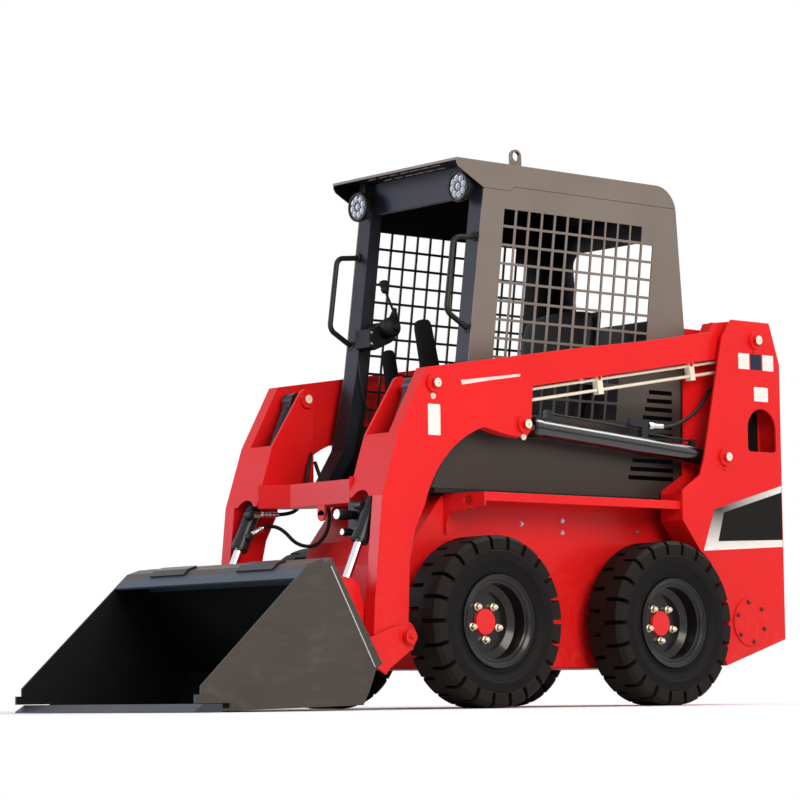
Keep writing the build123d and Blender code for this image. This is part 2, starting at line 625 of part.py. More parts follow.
# ================================================================ quick-attach frame
back_top, back_foot = BUCKET_BACK
back_run = hypot(back_top[0] - back_foot[0], back_top[1] - back_foot[1])
# unit vector from the arms into the bucket, square to its back
into = ((back_top[1] - back_foot[1]) / back_run, -(back_top[0] - back_foot[0]) / back_run)


def behind(point, depth):
    return (point[0] - into[0] * depth, point[1] - into[1] * depth)


frame_top = between(back_foot, back_top, 0.97)
frame_foot = between(back_foot, back_top, 0.02)
EAR_GAP = 5
EAR_T = 12
SHARED_EAR_Y = TILT_Y + TILT_EYE_W / 2 + SEAT_GAP + EAR_T     # its outer face
INNER_EAR_Y = TILT_Y - TILT_EYE_W / 2 - SEAT_GAP
QA_HALF_W = 500
PIN_HEAD_R = 27
PIN_HEAD_T = 25

with BuildPart() as quick_attach:
    with BuildSketch(side(QA_HALF_W)):
        Polygon(behind(frame_top, BACKFRAME_T), behind(frame_foot, BACKFRAME_T),
                behind(frame_foot, BACKFRAME_T + QA_T), behind(frame_top, BACKFRAME_T + QA_T), align=None)
    extrude(amount=2 * QA_HALF_W)
    for hand in (1, -1):
        # outer and shared ears at the pivot
        for ear_y in (ARM_OUT_Y + EAR_GAP + EAR_T, SHARED_EAR_Y):
            with BuildSketch(side(hand * ear_y)):
                Polygon(behind(between(back_foot, back_top, 0.21), BACKFRAME_T + 2), (934, 312), (895, 311),
                        (858, 277), (859, 223), (876, 217), (975, 151), (992, 130),
                        behind(frame_foot, BACKFRAME_T + 2), align=None)
            extrude(amount=hand * EAR_T)
        # both ears beside the tilt cylinder's rod
        for ear_y in (SHARED_EAR_Y, INNER_EAR_Y):
            with BuildSketch(side(hand * ear_y)):
                Polygon(behind(between(back_foot, back_top, 0.93), BACKFRAME_T + 2), (1122, 493), (1083, 492),
                        (1055, 468), (1048, 431), (1031, 394), (1012, 360), (994, 275),
                        behind(between(back_foot, back_top, 0.12), BACKFRAME_T + 2), align=None)
            extrude(amount=hand * EAR_T)
        # the pivot pin and its head
        with BuildSketch(side(hand * (ARM_OUT_Y + EAR_GAP + EAR_T + PIN_HEAD_T))):
            with Locations(TOOL_PIVOT):
                Circle(PIN_HEAD_R)
        extrude(amount=hand * (PIN_HEAD_T + 1))
        with BuildSketch(side(hand * (ARM_OUT_Y + EAR_GAP + EAR_T + 2))):
            with Locations(TOOL_PIVOT):
                Circle(TOOL_PIN_R)
        extrude(amount=hand * (ARM_OUT_Y + EAR_GAP + 2 * EAR_T + 2 - SHARED_EAR_Y))
save(quick_attach.part, "quick_attach")

# ================================================================ bucket
HEEL = (1161, 18)
HEEL_CURVE = ((1130, 73), (1110, 121))
TOP_BACK = (1350, 551)
TOP_FRONT = (1408, 533)
LIP = ((1430, 513), (1469, 478))      # the strip along the side plates' slanting edges
TOE_Z = 63                # height of the side plates at the cutting edge
EDGE_T = 30
EDGE_W = 155
EDGE_LAP = 35             # the edge's width left clear of the floor plate
EDGE_BACK_X = FRONT_REACH - EDGE_W
FLOOR_Z = 4
PAD_OUT_Y = 385           # the two pads on the bucket's top edge
PAD_W = 220

with BuildPart() as bucket_shell:
    floor_end = (EDGE_BACK_X + EDGE_LAP, FLOOR_Z)
    with BuildSketch(side(BUCKET_HALF_W)):
        Polygon(floor_end, HEEL, *HEEL_CURVE, back_foot, back_top, TOP_BACK, TOP_FRONT, *LIP,
                (LIP[1][0] - 6, LIP[1][1] - 7), (LIP[0][0] - 6, LIP[0][1] - 8),
                (TOP_FRONT[0] - 4, TOP_FRONT[1] - 9), (TOP_BACK[0] + 3, TOP_BACK[1] - 10),
                (back_top[0] + 8, back_top[1] - 4),
                (back_foot[0] + 9, back_foot[1] + 1), (HEEL_CURVE[1][0] + 9, HEEL_CURVE[1][1]),
                (HEEL_CURVE[0][0] + 8, HEEL_CURVE[0][1] + 3), (HEEL[0] + 4, HEEL[1] + BUCKET_T),
                (floor_end[0], FLOOR_Z + BUCKET_T), align=None)
    extrude(amount=2 * BUCKET_HALF_W)
    # the channel behind the back wall that the quick-attach frame holds
    with BuildSketch(side(BUCKET_HALF_W)):
        Polygon(back_foot, back_top, behind(back_top, BACKFRAME_T), behind(back_foot, BACKFRAME_T),
                align=None)
    extrude(amount=2 * BUCKET_HALF_W)
    # side plates
    for hand in (1, -1):
        with BuildSketch(side(hand * BUCKET_HALF_W)):
            Polygon(HEEL, *HEEL_CURVE, back_foot, back_top, TOP_BACK, TOP_FRONT,
                    (FRONT_REACH - 26, TOE_Z + 29), (FRONT_REACH - 26, TOE_Z), (FRONT_REACH, TOE_Z),
                    (FRONT_REACH, EDGE_T + 2),
                    (EDGE_BACK_X, EDGE_T + 2), (EDGE_BACK_X, FLOOR_Z), align=None)
        extrude(amount=hand * PLATE)
save(bucket_shell.part, "bucket_shell")

with BuildPart() as bucket_fittings:
    for hand in (1, -1):
        with BuildSketch(side(hand * PAD_OUT_Y)):
            Polygon((TOP_BACK[0] + 19, TOP_BACK[1] - 5.6), (TOP_FRONT[0] + 1, TOP_FRONT[1] + 0.6),
                    (LIP[0][0], LIP[0][1] + 0.4), (LIP[0][0] + 5, LIP[0][1] + 6),
                    (TOP_FRONT[0] + 4, TOP_FRONT[1] + 8), (TOP_BACK[0] + 21, TOP_BACK[1] + 3), align=None)
        extrude(amount=hand * PAD_W)
save(bucket_fittings.part, "bucket_fittings")

with BuildPart() as cutting_edge:
    with BuildSketch(side(BUCKET_HALF_W)):
        Polygon((EDGE_BACK_X + EDGE_LAP, 0), (FRONT_REACH, 0), (FRONT_REACH, 5), (FRONT_REACH - 40, EDGE_T),
                (EDGE_BACK_X + EDGE_LAP, EDGE_T), align=None)
    extrude(amount=2 * BUCKET_HALF_W)
save(cutting_edge.part, "cutting_edge")

# ================================================================ cab
FRONT_EDGE = ((366, VISOR_FOOT_Z), (457, 1356), (528, 1043), (655, CAB_Z))
REAR_EDGE = ((-721, CAB_Z), (-749, 1540), (-711, ROOF_JOINT_Z))
# rows from the top, first row, columns
MESH_ROWS = ((0, 1, 11), (1, 8, 12), (8, 11, 10))
# z of each louvre slot, rear end, front end
LOUVRES = tuple((1283 - 35.6 * k, -667, -534 + 12.8 * k) for k in range(11))
LOUVRE_H = 18

with BuildPart() as cab_side:
    with BuildSketch(side(CAB_Y)):
        Polygon(*REAR_EDGE, (200, ROOF_JOINT_Z), (222, VISOR_FOOT_Z), *FRONT_EDGE, align=None)
        for first, last, columns in MESH_ROWS:
            for row in range(first, last):
                top = MESH_TOP[1] - row * MESH_PITCH_Z
                foot = top - MESH_PITCH_Z + MESH_BAR
                for column in range(columns):
                    x = MESH_TOP[0] - column * MESH_PITCH_X + MESH_LEAN * (MESH_TOP[1] - top)
                    lean = MESH_LEAN * (top - foot)
                    rear = x - MESH_PITCH_X + MESH_BAR
                    Polygon((x, top), (x + lean, foot), (rear + lean, foot), (rear, top),
                            align=None, mode=Mode.SUBTRACT)
        for z, rear, fore in LOUVRES:
            with Locations(((rear + fore) / 2, z)):
                Rectangle(fore - rear, LOUVRE_H, mode=Mode.SUBTRACT)
    extrude(amount=SHEET)
save_pair(cab_side.part, "cab_side")

ROOF_SEAT = 2             # the roof's skirt stands this far above the side panels
ROOF_REAR = (-593, ROOF_Z)
roof_foot = (REAR_EDGE[2][0], ROOF_JOINT_Z + ROOF_SEAT)
# rows of slots in the visor: x, count
VISOR_ROWS = ((455, 7), (398, 6))

with BuildPart() as cab_roof:
    with BuildSketch(side(CAB_Y)):
        with BuildLine():
            Polyline(ROOF_REAR, (506, ROOF_Z), (506, ROOF_Z - 22), (495, ROOF_Z - 38), (455, ROOF_Z - 60),
                     (366, VISOR_FOOT_Z + ROOF_SEAT), (222, VISOR_FOOT_Z + ROOF_SEAT),
                     (200, ROOF_JOINT_Z + ROOF_SEAT), roof_foot)
            ThreePointArc(roof_foot, (-672, ROOF_Z - 26), ROOF_REAR)
        make_face()
    extrude(amount=2 * CAB_Y)
    with BuildSketch(side(CAB_Y - SHEET)):
        with BuildLine():
            Polyline((ROOF_REAR[0], ROOF_Z - SHEET), (500, ROOF_Z - SHEET), (520, ROOF_Z - 24),
                     (520, ROOF_JOINT_Z - 60), (roof_foot[0] + SHEET, ROOF_JOINT_Z - 60),
                     (roof_foot[0] + SHEET, roof_foot[1]))
            ThreePointArc((roof_foot[0] + SHEET, roof_foot[1]), (-668, ROOF_Z - 30),
                          (ROOF_REAR[0], ROOF_Z - SHEET))
        make_face()
    extrude(amount=2 * (CAB_Y - SHEET), mode=Mode.SUBTRACT)
    with BuildSketch(Plane.XY.offset(ROOF_Z - SHEET - 1)):
        for x, count in VISOR_ROWS:
            with Locations((MID_X + x, 0)):
                with GridLocations(1, 66, 1, count):
                    Rectangle(12, 58)
    extrude(amount=SHEET + 2, mode=Mode.SUBTRACT)
save(cab_roof.part, "cab_roof")

EYE_X = 145
EYE_Y = 330
EYE_R = 28
EYE_T = 14
EYE_RISE = 48             # the hole's centre above the roof
EYE_HOLE_R = 19
with BuildPart() as lifting_eyes:
    for hand in (1, -1):
        with BuildSketch(side(hand * (EYE_Y + EYE_T / 2))):
            with Locations((EYE_X, ROOF_Z + EYE_RISE / 2)):
                Rectangle(2 * EYE_R, EYE_RISE)
            with Locations((EYE_X, ROOF_Z + EYE_RISE)):
                Circle(EYE_R)
                Circle(EYE_HOLE_R, mode=Mode.SUBTRACT)
        extrude(amount=hand * EYE_T)
save(lifting_eyes.part, "lifting_eyes")


HEADER_FOOT_Z = ROOF_Z - 128
HEADER = ((363, HEADER_FOOT_Z), (372, ROOF_Z - SHEET))


def post_x(z):
    """The front edge of the side panel at height z."""
    for (x0, z0), (x1, z1) in zip(FRONT_EDGE, FRONT_EDGE[1:]):
        if z1 <= z <= z0:
            return x0 + (x1 - x0) * (z0 - z) / (z0 - z1)
    return FRONT_EDGE[-1][0]


with BuildPart() as cab_front_frame:
    for hand in (1, -1):
        with BuildSketch(side(hand * (CAB_Y - SHEET))):
            Polygon(*FRONT_EDGE, (FRONT_EDGE[3][0] - POST_D - 8, CAB_Z), (FRONT_EDGE[2][0] - POST_D, 1030),
                    (FRONT_EDGE[1][0] - POST_D, 1352), (FRONT_EDGE[0][0] - POST_D, VISOR_FOOT_Z), align=None)
        extrude(amount=hand * POST_W)
    header_y = CAB_Y - SHEET - 1
    with BuildSketch(side(header_y)):
        Polygon(*HEADER, (HEADER[1][0] - SHEET, HEADER[1][1]), (HEADER[0][0] - SHEET, HEADER_FOOT_Z + SHEET),
                (HEADER[0][0] - 30, HEADER_FOOT_Z + SHEET), (HEADER[0][0] - 30, HEADER_FOOT_Z), align=None)
    extrude(amount=2 * header_y)
save(cab_front_frame.part, "cab_front_frame")

with BuildPart() as cab_rear:
    with BuildSketch(side(CAB_Y - SHEET)):
        Polygon(*REAR_EDGE, (REAR_EDGE[2][0] + SHEET, ROOF_JOINT_Z), (REAR_EDGE[1][0] + SHEET, 1540),
                (REAR_EDGE[0][0] + SHEET, CAB_Z), align=None)
    extrude(amount=2 * (CAB_Y - SHEET))
    with BuildSketch(front(-760)):
        with Locations((0, ROOF_Z - 371)):
            RectangleRounded(500, 332, 60)
    extrude(amount=80, mode=Mode.SUBTRACT)
save(cab_rear.part, "cab_rear")

RAIL_FRONT_X = 640        # the base rail under the cab's sides
RAIL_REAR_X = -712
CAB_FLOOR_Z = CAB_Z + 6
with BuildPart() as cab_floor:
    with BuildSketch(Plane.XY.offset(DECK_Z)):
        with Locations((MID_X + (RAIL_FRONT_X + RAIL_REAR_X) / 2, 0)):
            Rectangle(RAIL_FRONT_X - RAIL_REAR_X, 2 * (CAB_Y - 2))
    extrude(amount=CAB_Z - DECK_Z)
    with BuildSketch(Plane.XY.offset(CAB_Z)):
        with Locations((MID_X - 62, 0)):
            Rectangle(1240, 2 * (CAB_Y - POST_W - SHEET - 1))
    extrude(amount=CAB_FLOOR_Z - CAB_Z)
    with BuildSketch(Plane.XY.offset(FRAME_TOP_Z)):
        with Locations((MID_X - 62, 0)):
            Rectangle(1230, 2 * FRAME_Y)
    extrude(amount=DECK_Z - FRAME_TOP_Z)
save(cab_floor.part, "cab_floor")

SEAT_X = -90
PEDESTAL_H = 230
PEDESTAL_TOP_Z = CAB_FLOOR_Z + PEDESTAL_H
BACKREST_TOP_Z = 1630
with BuildPart() as seat_base:
    with BuildSketch(Plane.XY.offset(CAB_FLOOR_Z)):
        with Locations((MID_X + SEAT_X - 60, 0)):
            Rectangle(520, 500)
    extrude(amount=PEDESTAL_H)
    # the sheet behind the backrest
    with BuildSketch(side(190)):
        Polygon((SEAT_X - 235, PEDESTAL_TOP_Z - 6), (SEAT_X - 295, PEDESTAL_TOP_Z - 6),
                (SEAT_X - 370, BACKREST_TOP_Z), (SEAT_X - 352, BACKREST_TOP_Z), align=None)
    extrude(amount=380)
save(seat_base.part, "seat_base")

with BuildPart() as seat:
    with BuildSketch(side(225)):
        Polygon((SEAT_X - 215, PEDESTAL_TOP_Z + SEAT_GAP), (SEAT_X + 195, PEDESTAL_TOP_Z + SEAT_GAP),
                (SEAT_X + 215, PEDESTAL_TOP_Z + 94), (SEAT_X - 200, PEDESTAL_TOP_Z + 84), align=None)
    extrude(amount=450)
    with BuildSketch(side(210)):
        Polygon((SEAT_X - 237.8, PEDESTAL_TOP_Z + 9), (SEAT_X - 349.5, BACKREST_TOP_Z - 10),
                (SEAT_X - 320, BACKREST_TOP_Z + 35), (SEAT_X - 262, BACKREST_TOP_Z + 10),
                (SEAT_X - 150, PEDESTAL_TOP_Z + 99), (SEAT_X - 212, PEDESTAL_TOP_Z + 89), align=None)
    extrude(amount=420)
save(seat.part, "seat")

# lever base x and y, grip foot, grip top (x, z), grip radius
LEVERS = (
    ((300, 100), (395, 1290), (440, 1545), 33),
    ((290, -150), (385, 1200), (430, 1445), 29),
)
with BuildPart() as control_levers:
    for (x, y), foot, head, grip_r in LEVERS:
        run = Plane(origin=(MID_X + foot[0], y, foot[1]), z_dir=(head[0] - foot[0], 0, head[1] - foot[1]))
        with BuildSketch(Plane.XY.offset(CAB_FLOOR_Z)):
            with Locations((MID_X + x, y)):
                Circle(34)
        extrude(amount=30)
        stem = Plane(origin=(MID_X + x, y, CAB_Z + 20), z_dir=(foot[0] - x, 0, foot[1] - CAB_Z - 20))
        with BuildSketch(stem):
            Circle(11)
        extrude(amount=hypot(foot[0] - x, foot[1] - CAB_Z - 20) + 4)
        with BuildSketch(run):
            Circle(grip_r)
        extrude(amount=hypot(head[0] - foot[0], head[1] - foot[1]))
save(control_levers.part, "control_levers")

LAMP = (434, 311, ROOF_Z - 100, 62)
with BuildPart() as work_lamps:
    for hand in (1, -1):
        spot = Plane(origin=(MID_X + LAMP[0], hand * LAMP[1], LAMP[2]), z_dir=(1, 0, 0))
        with BuildSketch(spot.offset(-42)):
            Circle(LAMP[3] - 14)
        with BuildSketch(spot.offset(-8)):
            Circle(LAMP[3])
        loft()
        with BuildSketch(spot.offset(-8)):
            Circle(LAMP[3])
        extrude(amount=8)
        with BuildSketch(spot.offset(-3)):
            Circle(LAMP[3] - 7)
        extrude(amount=4, mode=Mode.SUBTRACT)
        with BuildSketch(front(LAMP[0] - 32)):
            with Locations((hand * LAMP[1], (LAMP[2] + ROOF_Z - SHEET) / 2)):
                Rectangle(34, ROOF_Z - SHEET - LAMP[2])
        extrude(amount=8)
save(work_lamps.part, "work_lamps")

with BuildPart() as lamp_lenses:
    for hand in (1, -1):
        spot = Plane(origin=(MID_X + LAMP[0] - 2.7, hand * LAMP[1], LAMP[2]), z_dir=(1, 0, 0))
        with BuildSketch(spot):
            Circle(LAMP[3] - 7 - SEAT_GAP)
        extrude(amount=4)
save(lamp_lenses.part, "lamp_lenses")

RAIL_R = 11
RAIL_Y = 361
RAIL_BEND_R = 38
RAIL_TOP_Z = 1848
RAIL_FOOT_Z = 1478
rail_points = ((post_x(RAIL_TOP_Z) - 4, RAIL_TOP_Z), (507, 1836), (549, 1540),
               (post_x(RAIL_FOOT_Z) - 4, RAIL_FOOT_Z))
with BuildPart() as handrails:
    for hand in (1, -1):
        with BuildLine(side(hand * RAIL_Y)) as route:
            FilletPolyline(*rail_points, radius=RAIL_BEND_R)
        with BuildSketch(Plane(origin=route.line @ 0, z_dir=route.line % 0)):
            Circle(RAIL_R)
        sweep(path=route.line)
        with BuildSketch(side(hand * (CAB_Y - SHEET))):
            Polygon(*FRONT_EDGE, (0, CAB_Z), (0, VISOR_FOOT_Z), align=None)
        extrude(amount=hand * POST_W, mode=Mode.SUBTRACT)
save(handrails.part, "handrails")

# ================================================================ engine bay
ENGINE_GAP = 45           # to the bulkhead and to the rear wall's plane
ENGINE_Z = (300, 860)
ENGINE_W = 480
MOUNT_W = 60
engine_l = BAY_FRONT_X - PLATE - REAR_WALL_X - 2 * ENGINE_GAP
engine_x = (BAY_FRONT_X - PLATE + REAR_WALL_X) / 2
with BuildPart() as engine_block:
    with BuildSketch(Plane.XY.offset(ENGINE_Z[0])):
        with Locations((MID_X + engine_x, 0)):
            Rectangle(engine_l, ENGINE_W)
    extrude(amount=ENGINE_Z[1] - ENGINE_Z[0])
    with BuildSketch(Plane.XY.offset(ENGINE_Z[0] - 10)):
        with Locations((MID_X + engine_x, 0)):
            with GridLocations(engine_l - MOUNT_W, 1, 2, 1):
                Rectangle(MOUNT_W, 2 * (FRAME_Y - PLATE))
    extrude(amount=12)
save(engine_block.part, "engine_block")

DOOR_FOOT_Z = 500
DOOR_HALF_W = BAY_Y - 14
HINGE = (REAR_WALL_X - 23, BAY_Y + 8)
HINGE_R = 10
HINGE_H = 40
HINGES_Z = (690, 1330)
door_in_x = REAR_WALL_X - 6

with BuildPart() as rear_door:
    with BuildSketch(Plane.XY.offset(DOOR_FOOT_Z)):
        with Locations(((MID_X * 2 - REAR_REACH + door_in_x) / 2, 0)):
            Rectangle(REAR_REACH + door_in_x, 2 * DOOR_HALF_W)
    extrude(amount=BAY_TOP_Z - DOOR_FOOT_Z)
    with BuildSketch(Plane.XY.offset(DOOR_FOOT_Z + 25)):
        with Locations(((MID_X * 2 - REAR_REACH + 4 + door_in_x + 4) / 2, 0)):
            Rectangle(REAR_REACH + door_in_x, 2 * DOOR_HALF_W - 50)
    extrude(amount=BAY_TOP_Z - DOOR_FOOT_Z - 50, mode=Mode.SUBTRACT)
    with BuildSketch(front(-REAR_REACH - 1)):
        with Locations((0, 1240)):
            with GridLocations(300, 36, 2, 11):
                Rectangle(250, 16)
    extrude(amount=10, mode=Mode.SUBTRACT)
    for z in HINGES_Z:
        with BuildSketch(Plane.XY.offset(z + HINGE_H / 2 + 0.5)):
            with Locations((MID_X + HINGE[0], HINGE[1])):
                Circle(HINGE_R)
            with Locations((MID_X + HINGE[0], HINGE[1] - 15)):
                Rectangle(8, 24)
        extrude(amount=HINGE_H)
        with BuildSketch(Plane.XY.offset(z)):
            with Locations((MID_X + HINGE[0], HINGE[1])):
                Circle(HINGE_PIN_R + RUN_GAP)
        extrude(amount=2 * HINGE_H, mode=Mode.SUBTRACT)
save(rear_door.part, "rear_door")

with BuildPart() as door_hinges:
    for z in HINGES_Z:
        with BuildSketch(Plane.XY.offset(z - HINGE_H / 2)):
            with Locations((MID_X + HINGE[0], HINGE[1])):
                Circle(HINGE_R)
            with Locations((MID_X + (HINGE[0] + REAR_WALL_X + 15) / 2, BAY_Y + 4)):
                Rectangle(REAR_WALL_X + 15 - HINGE[0], 8)
        extrude(amount=HINGE_H)
        with BuildSketch(Plane.XY.offset(z)):
            with Locations((MID_X + HINGE[0], HINGE[1])):
                Circle(HINGE_PIN_R)
        extrude(amount=HINGE_H * 1.5)
save(door_hinges.part, "door_hinges")

HOOD_T = 26
with BuildPart() as engine_hood:
    with BuildSketch(side(BAY_Y - 2)):
        Polygon((BAY_FRONT_X - 12, BAY_TOP_Z + 1), (REAR_WALL_X - 30, BAY_TOP_Z + 1),
                (REAR_WALL_X - 30, BAY_TOP_Z + 12), (REAR_WALL_X, BAY_TOP_Z + HOOD_T),
                (BAY_FRONT_X - 12, BAY_TOP_Z + HOOD_T), align=None)
    extrude(amount=2 * (BAY_Y - 2))
    with BuildSketch(side(BAY_Y - 8)):
        Polygon((BAY_FRONT_X - 18, BAY_TOP_Z), (REAR_WALL_X - 24, BAY_TOP_Z),
                (REAR_WALL_X - 24, BAY_TOP_Z + 8), (REAR_WALL_X, BAY_TOP_Z + HOOD_T - 5),
                (BAY_FRONT_X - 18, BAY_TOP_Z + HOOD_T - 5), align=None)
    extrude(amount=2 * (BAY_Y - 8), mode=Mode.SUBTRACT)
    for hand in (1, -1):
        with BuildSketch(side(hand * (HOOD_KNUCKLE_Y + KNUCKLE_W - 1))):
            with Locations(HOOD_HINGE):
                Circle(KNUCKLE_R)
            Polygon((BAY_FRONT_X - 14, HOOD_HINGE[1] - 4), (HOOD_HINGE[0], HOOD_HINGE[1] - 4),
                    (HOOD_HINGE[0], HOOD_HINGE[1] + 6), (BAY_FRONT_X - 14, HOOD_HINGE[1] + 6), align=None)
        extrude(amount=hand * (KNUCKLE_W - 2))
        with BuildSketch(side(hand * (HOOD_KNUCKLE_Y + 2 * KNUCKLE_W))):
            with Locations(HOOD_HINGE):
                Circle(HINGE_PIN_R + RUN_GAP)
        extrude(amount=hand * 3 * KNUCKLE_W, mode=Mode.SUBTRACT)
save(engine_hood.part, "engine_hood")
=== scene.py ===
from math import cos, pi, radians, sin
import bmesh
import bpy
from mathutils import Matrix, Vector


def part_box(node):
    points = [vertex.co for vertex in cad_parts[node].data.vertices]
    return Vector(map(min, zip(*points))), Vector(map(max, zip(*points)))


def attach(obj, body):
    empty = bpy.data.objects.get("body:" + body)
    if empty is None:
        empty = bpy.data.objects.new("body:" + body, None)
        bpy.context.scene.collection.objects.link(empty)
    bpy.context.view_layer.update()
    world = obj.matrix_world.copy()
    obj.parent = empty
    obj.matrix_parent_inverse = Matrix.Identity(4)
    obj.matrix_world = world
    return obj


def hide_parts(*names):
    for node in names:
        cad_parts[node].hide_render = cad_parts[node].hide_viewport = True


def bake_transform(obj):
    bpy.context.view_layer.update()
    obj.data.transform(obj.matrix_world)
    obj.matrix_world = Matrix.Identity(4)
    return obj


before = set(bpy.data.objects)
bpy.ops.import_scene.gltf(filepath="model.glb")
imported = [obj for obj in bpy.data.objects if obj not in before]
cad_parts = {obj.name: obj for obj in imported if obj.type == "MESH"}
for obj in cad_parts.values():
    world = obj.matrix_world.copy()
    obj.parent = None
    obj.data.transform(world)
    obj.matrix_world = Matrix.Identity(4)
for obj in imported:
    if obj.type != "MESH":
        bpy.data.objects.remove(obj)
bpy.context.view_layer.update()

# Finishes and fine pieces for a compact wheeled skid steer loader. Metres, in the frame of the CAD model:
# +X forward, +Y the machine's left, +Z up. Places are written from the middle of the wheelbase and moved
# by at().


def middle(node):
    """The middle of a CAD node's box."""
    low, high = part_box(node)
    return (Vector(low) + Vector(high)) / 2


SIDES = (("left", 1), ("right", -1))
CORNERS = ("front_left", "front_right", "rear_left", "rear_right")
WHEELS = {name: middle(f"rim_{name}") for name in CORNERS}
MID_X = (WHEELS["front_left"].x + WHEELS["rear_left"].x) / 2
HALF_BASE = (WHEELS["front_left"].x - WHEELS["rear_left"].x) / 2
AXLE_Z = 0.330
# distances from the middle plane: outer faces of the arms and the towers, line of the steel pipes
ARM_FACE = 0.487
TOWER_FACE = 0.520
PIPE_LINE = 0.4585


def at(x, y, z):
    """A place that is written from the middle of the wheelbase, in the frame of the CAD model."""
    return Vector((x + MID_X, y, z))


# ================================================================ camera, light and floor
def linear(colour):
    """An sRGB hex colour as linear red, green, blue and alpha."""
    parts = [int(colour[i:i + 2], 16) / 255 for i in (1, 3, 5)]
    return tuple(c / 12.92 if c <= 0.04045 else ((c + 0.055) / 1.055) ** 2.4 for c in parts) + (1,)


def add(tree, kind, inputs=None, **settings):
    """Adds a shader node with its settings, and sets or links its inputs by name or number."""
    node = tree.nodes.new("ShaderNode" + kind)
    for name, value in settings.items():
        setattr(node, name, value)
    for key, value in (inputs or {}).items():
        if isinstance(value, bpy.types.NodeSocket):
            tree.links.new(value, node.inputs[key])
        else:
            node.inputs[key].default_value = value
    return node


def place_camera():
    """A long lens, low in front of the machine's left side, that looks slightly up."""
    forward = Vector((-0.6444, -0.7583, 0.0986))
    roll = radians(-0.614)
    camera = bpy.data.objects.new("camera", bpy.data.cameras.new("camera"))
    bpy.context.collection.objects.link(camera)
    camera.data.lens = 133.62
    camera.data.sensor_width = 36
    camera.data.clip_end = 100
    camera.location = (7.7605, 8.9864, 0.0564)
    aim = forward.to_track_quat("-Z", "Y").to_matrix().to_4x4()
    camera.matrix_world = Matrix.Translation(camera.location) @ aim @ Matrix.Rotation(roll, 4, "Z")
    bpy.context.scene.camera = camera


def soft_box(name, place, look_at, size, power, colour="#FFFFFF"):
    """A rectangular soft light of this width and height in metres and power in watts."""
    lamp = bpy.data.lights.new(name, "AREA")
    lamp.shape = "RECTANGLE"
    lamp.size, lamp.size_y = size
    lamp.energy = power
    lamp.color = linear(colour)[:3]
    box = bpy.data.objects.new(name, lamp)
    bpy.context.collection.objects.link(box)
    box.location = place
    box.rotation_euler = (Vector(look_at) - Vector(place)).to_track_quat("-Z", "Y").to_euler()


def light_studio():
    """Three soft boxes and a dim even world, which is white where it is seen, mirrored or seen through."""
    scene = bpy.context.scene
    scene.view_settings.view_transform = "Standard"
    world = bpy.data.worlds.new("studio")
    scene.world = world
    world.use_nodes = True
    tree = world.node_tree
    tree.nodes.clear()
    path = add(tree, "LightPath")
    through = add(tree, "Math", {
        0: path.outputs["Is Camera Ray"], 1: path.outputs["Is Transmission Ray"]}, operation="MAXIMUM")
    seen = add(tree, "Math", {
        0: through.outputs[0], 1: path.outputs["Is Glossy Ray"]}, operation="MAXIMUM")
    soft = add(tree, "Background", {"Color": linear("#F4F6FA"), "Strength": 0.34})
    white = add(tree, "Background", {"Color": (1, 1, 1, 1), "Strength": 1.0})
    mixed = add(tree, "MixShader", {0: seen.outputs[0], 1: soft.outputs[0], 2: white.outputs[0]})
    add(tree, "OutputWorld", {0: mixed.outputs[0]})
    soft_box("key_left", (1.5, 7.5, 4.2), (-0.2, 0, 0.9), (5, 3.5), 500, "#FFF6EC")
    soft_box("front_right", (6.5, -4.5, 2.6), (0.4, 0, 0.8), (3.5, 4), 310, "#EAE6FF")
    soft_box("overhead", (-3.2, 0.8, 6.0), (0, 0, 0.8), (2.4, 5.5), 250)


def lay_floor():
    """Matt white paper that takes the machine's shadow and turns pure white a few metres away."""
    half = 40
    mesh = bpy.data.meshes.new("floor")
    corners = [(-half, -half, 0), (half, -half, 0), (half, half, 0), (-half, half, 0)]
    mesh.from_pydata(corners, [], [(0, 1, 2, 3)])
    floor = bpy.data.objects.new("floor", mesh)
    bpy.context.collection.objects.link(floor)
    floor.location.z = -0.001  # just under the tyres
    paper = bpy.data.materials.new("matt_white_paper")
    paper.use_nodes = True
    tree = paper.node_tree
    tree.nodes.clear()
    place = add(tree, "TexCoord")
    reach = add(tree, "VectorMath", {0: place.outputs["Object"]}, operation="LENGTH")
    far = add(tree, "MapRange", {"Value": reach.outputs["Value"], "From Min": 1.2, "From Max": 3.2})
    path = add(tree, "LightPath")
    white_out = add(tree, "Math", {
        0: far.outputs[0], 1: path.outputs["Is Camera Ray"]}, operation="MULTIPLY")
    sheet = add(tree, "BsdfDiffuse", {"Color": linear("#F2F2F2")})
    glow = add(tree, "Emission", {"Color": (1, 1, 1, 1), "Strength": 1.0})
    mixed = add(tree, "MixShader", {0: white_out.outputs[0], 1: sheet.outputs[0], 2: glow.outputs[0]})
    add(tree, "OutputMaterial", {0: mixed.outputs[0]})
    floor.data.materials.append(paper)


# ================================================================ finishes
# Pattern scales are 1000 over the real size in millimetres. Grain that is finer than about 2 mm doesn't show
# at this distance, so it is drawn coarser, and each finish says how coarse.
def start(name):
    """A new material with its node tree and the object's own coordinates."""
    coat = bpy.data.materials.new(name)
    coat.use_nodes = True
    coat.node_tree.nodes.clear()
    place = add(coat.node_tree, "TexCoord").outputs["Object"]
    return coat, coat.node_tree, place


def close(tree, shader):
    """Links the finished shader to the material's output."""
    add(tree, "OutputMaterial", {0: shader.outputs[0]})


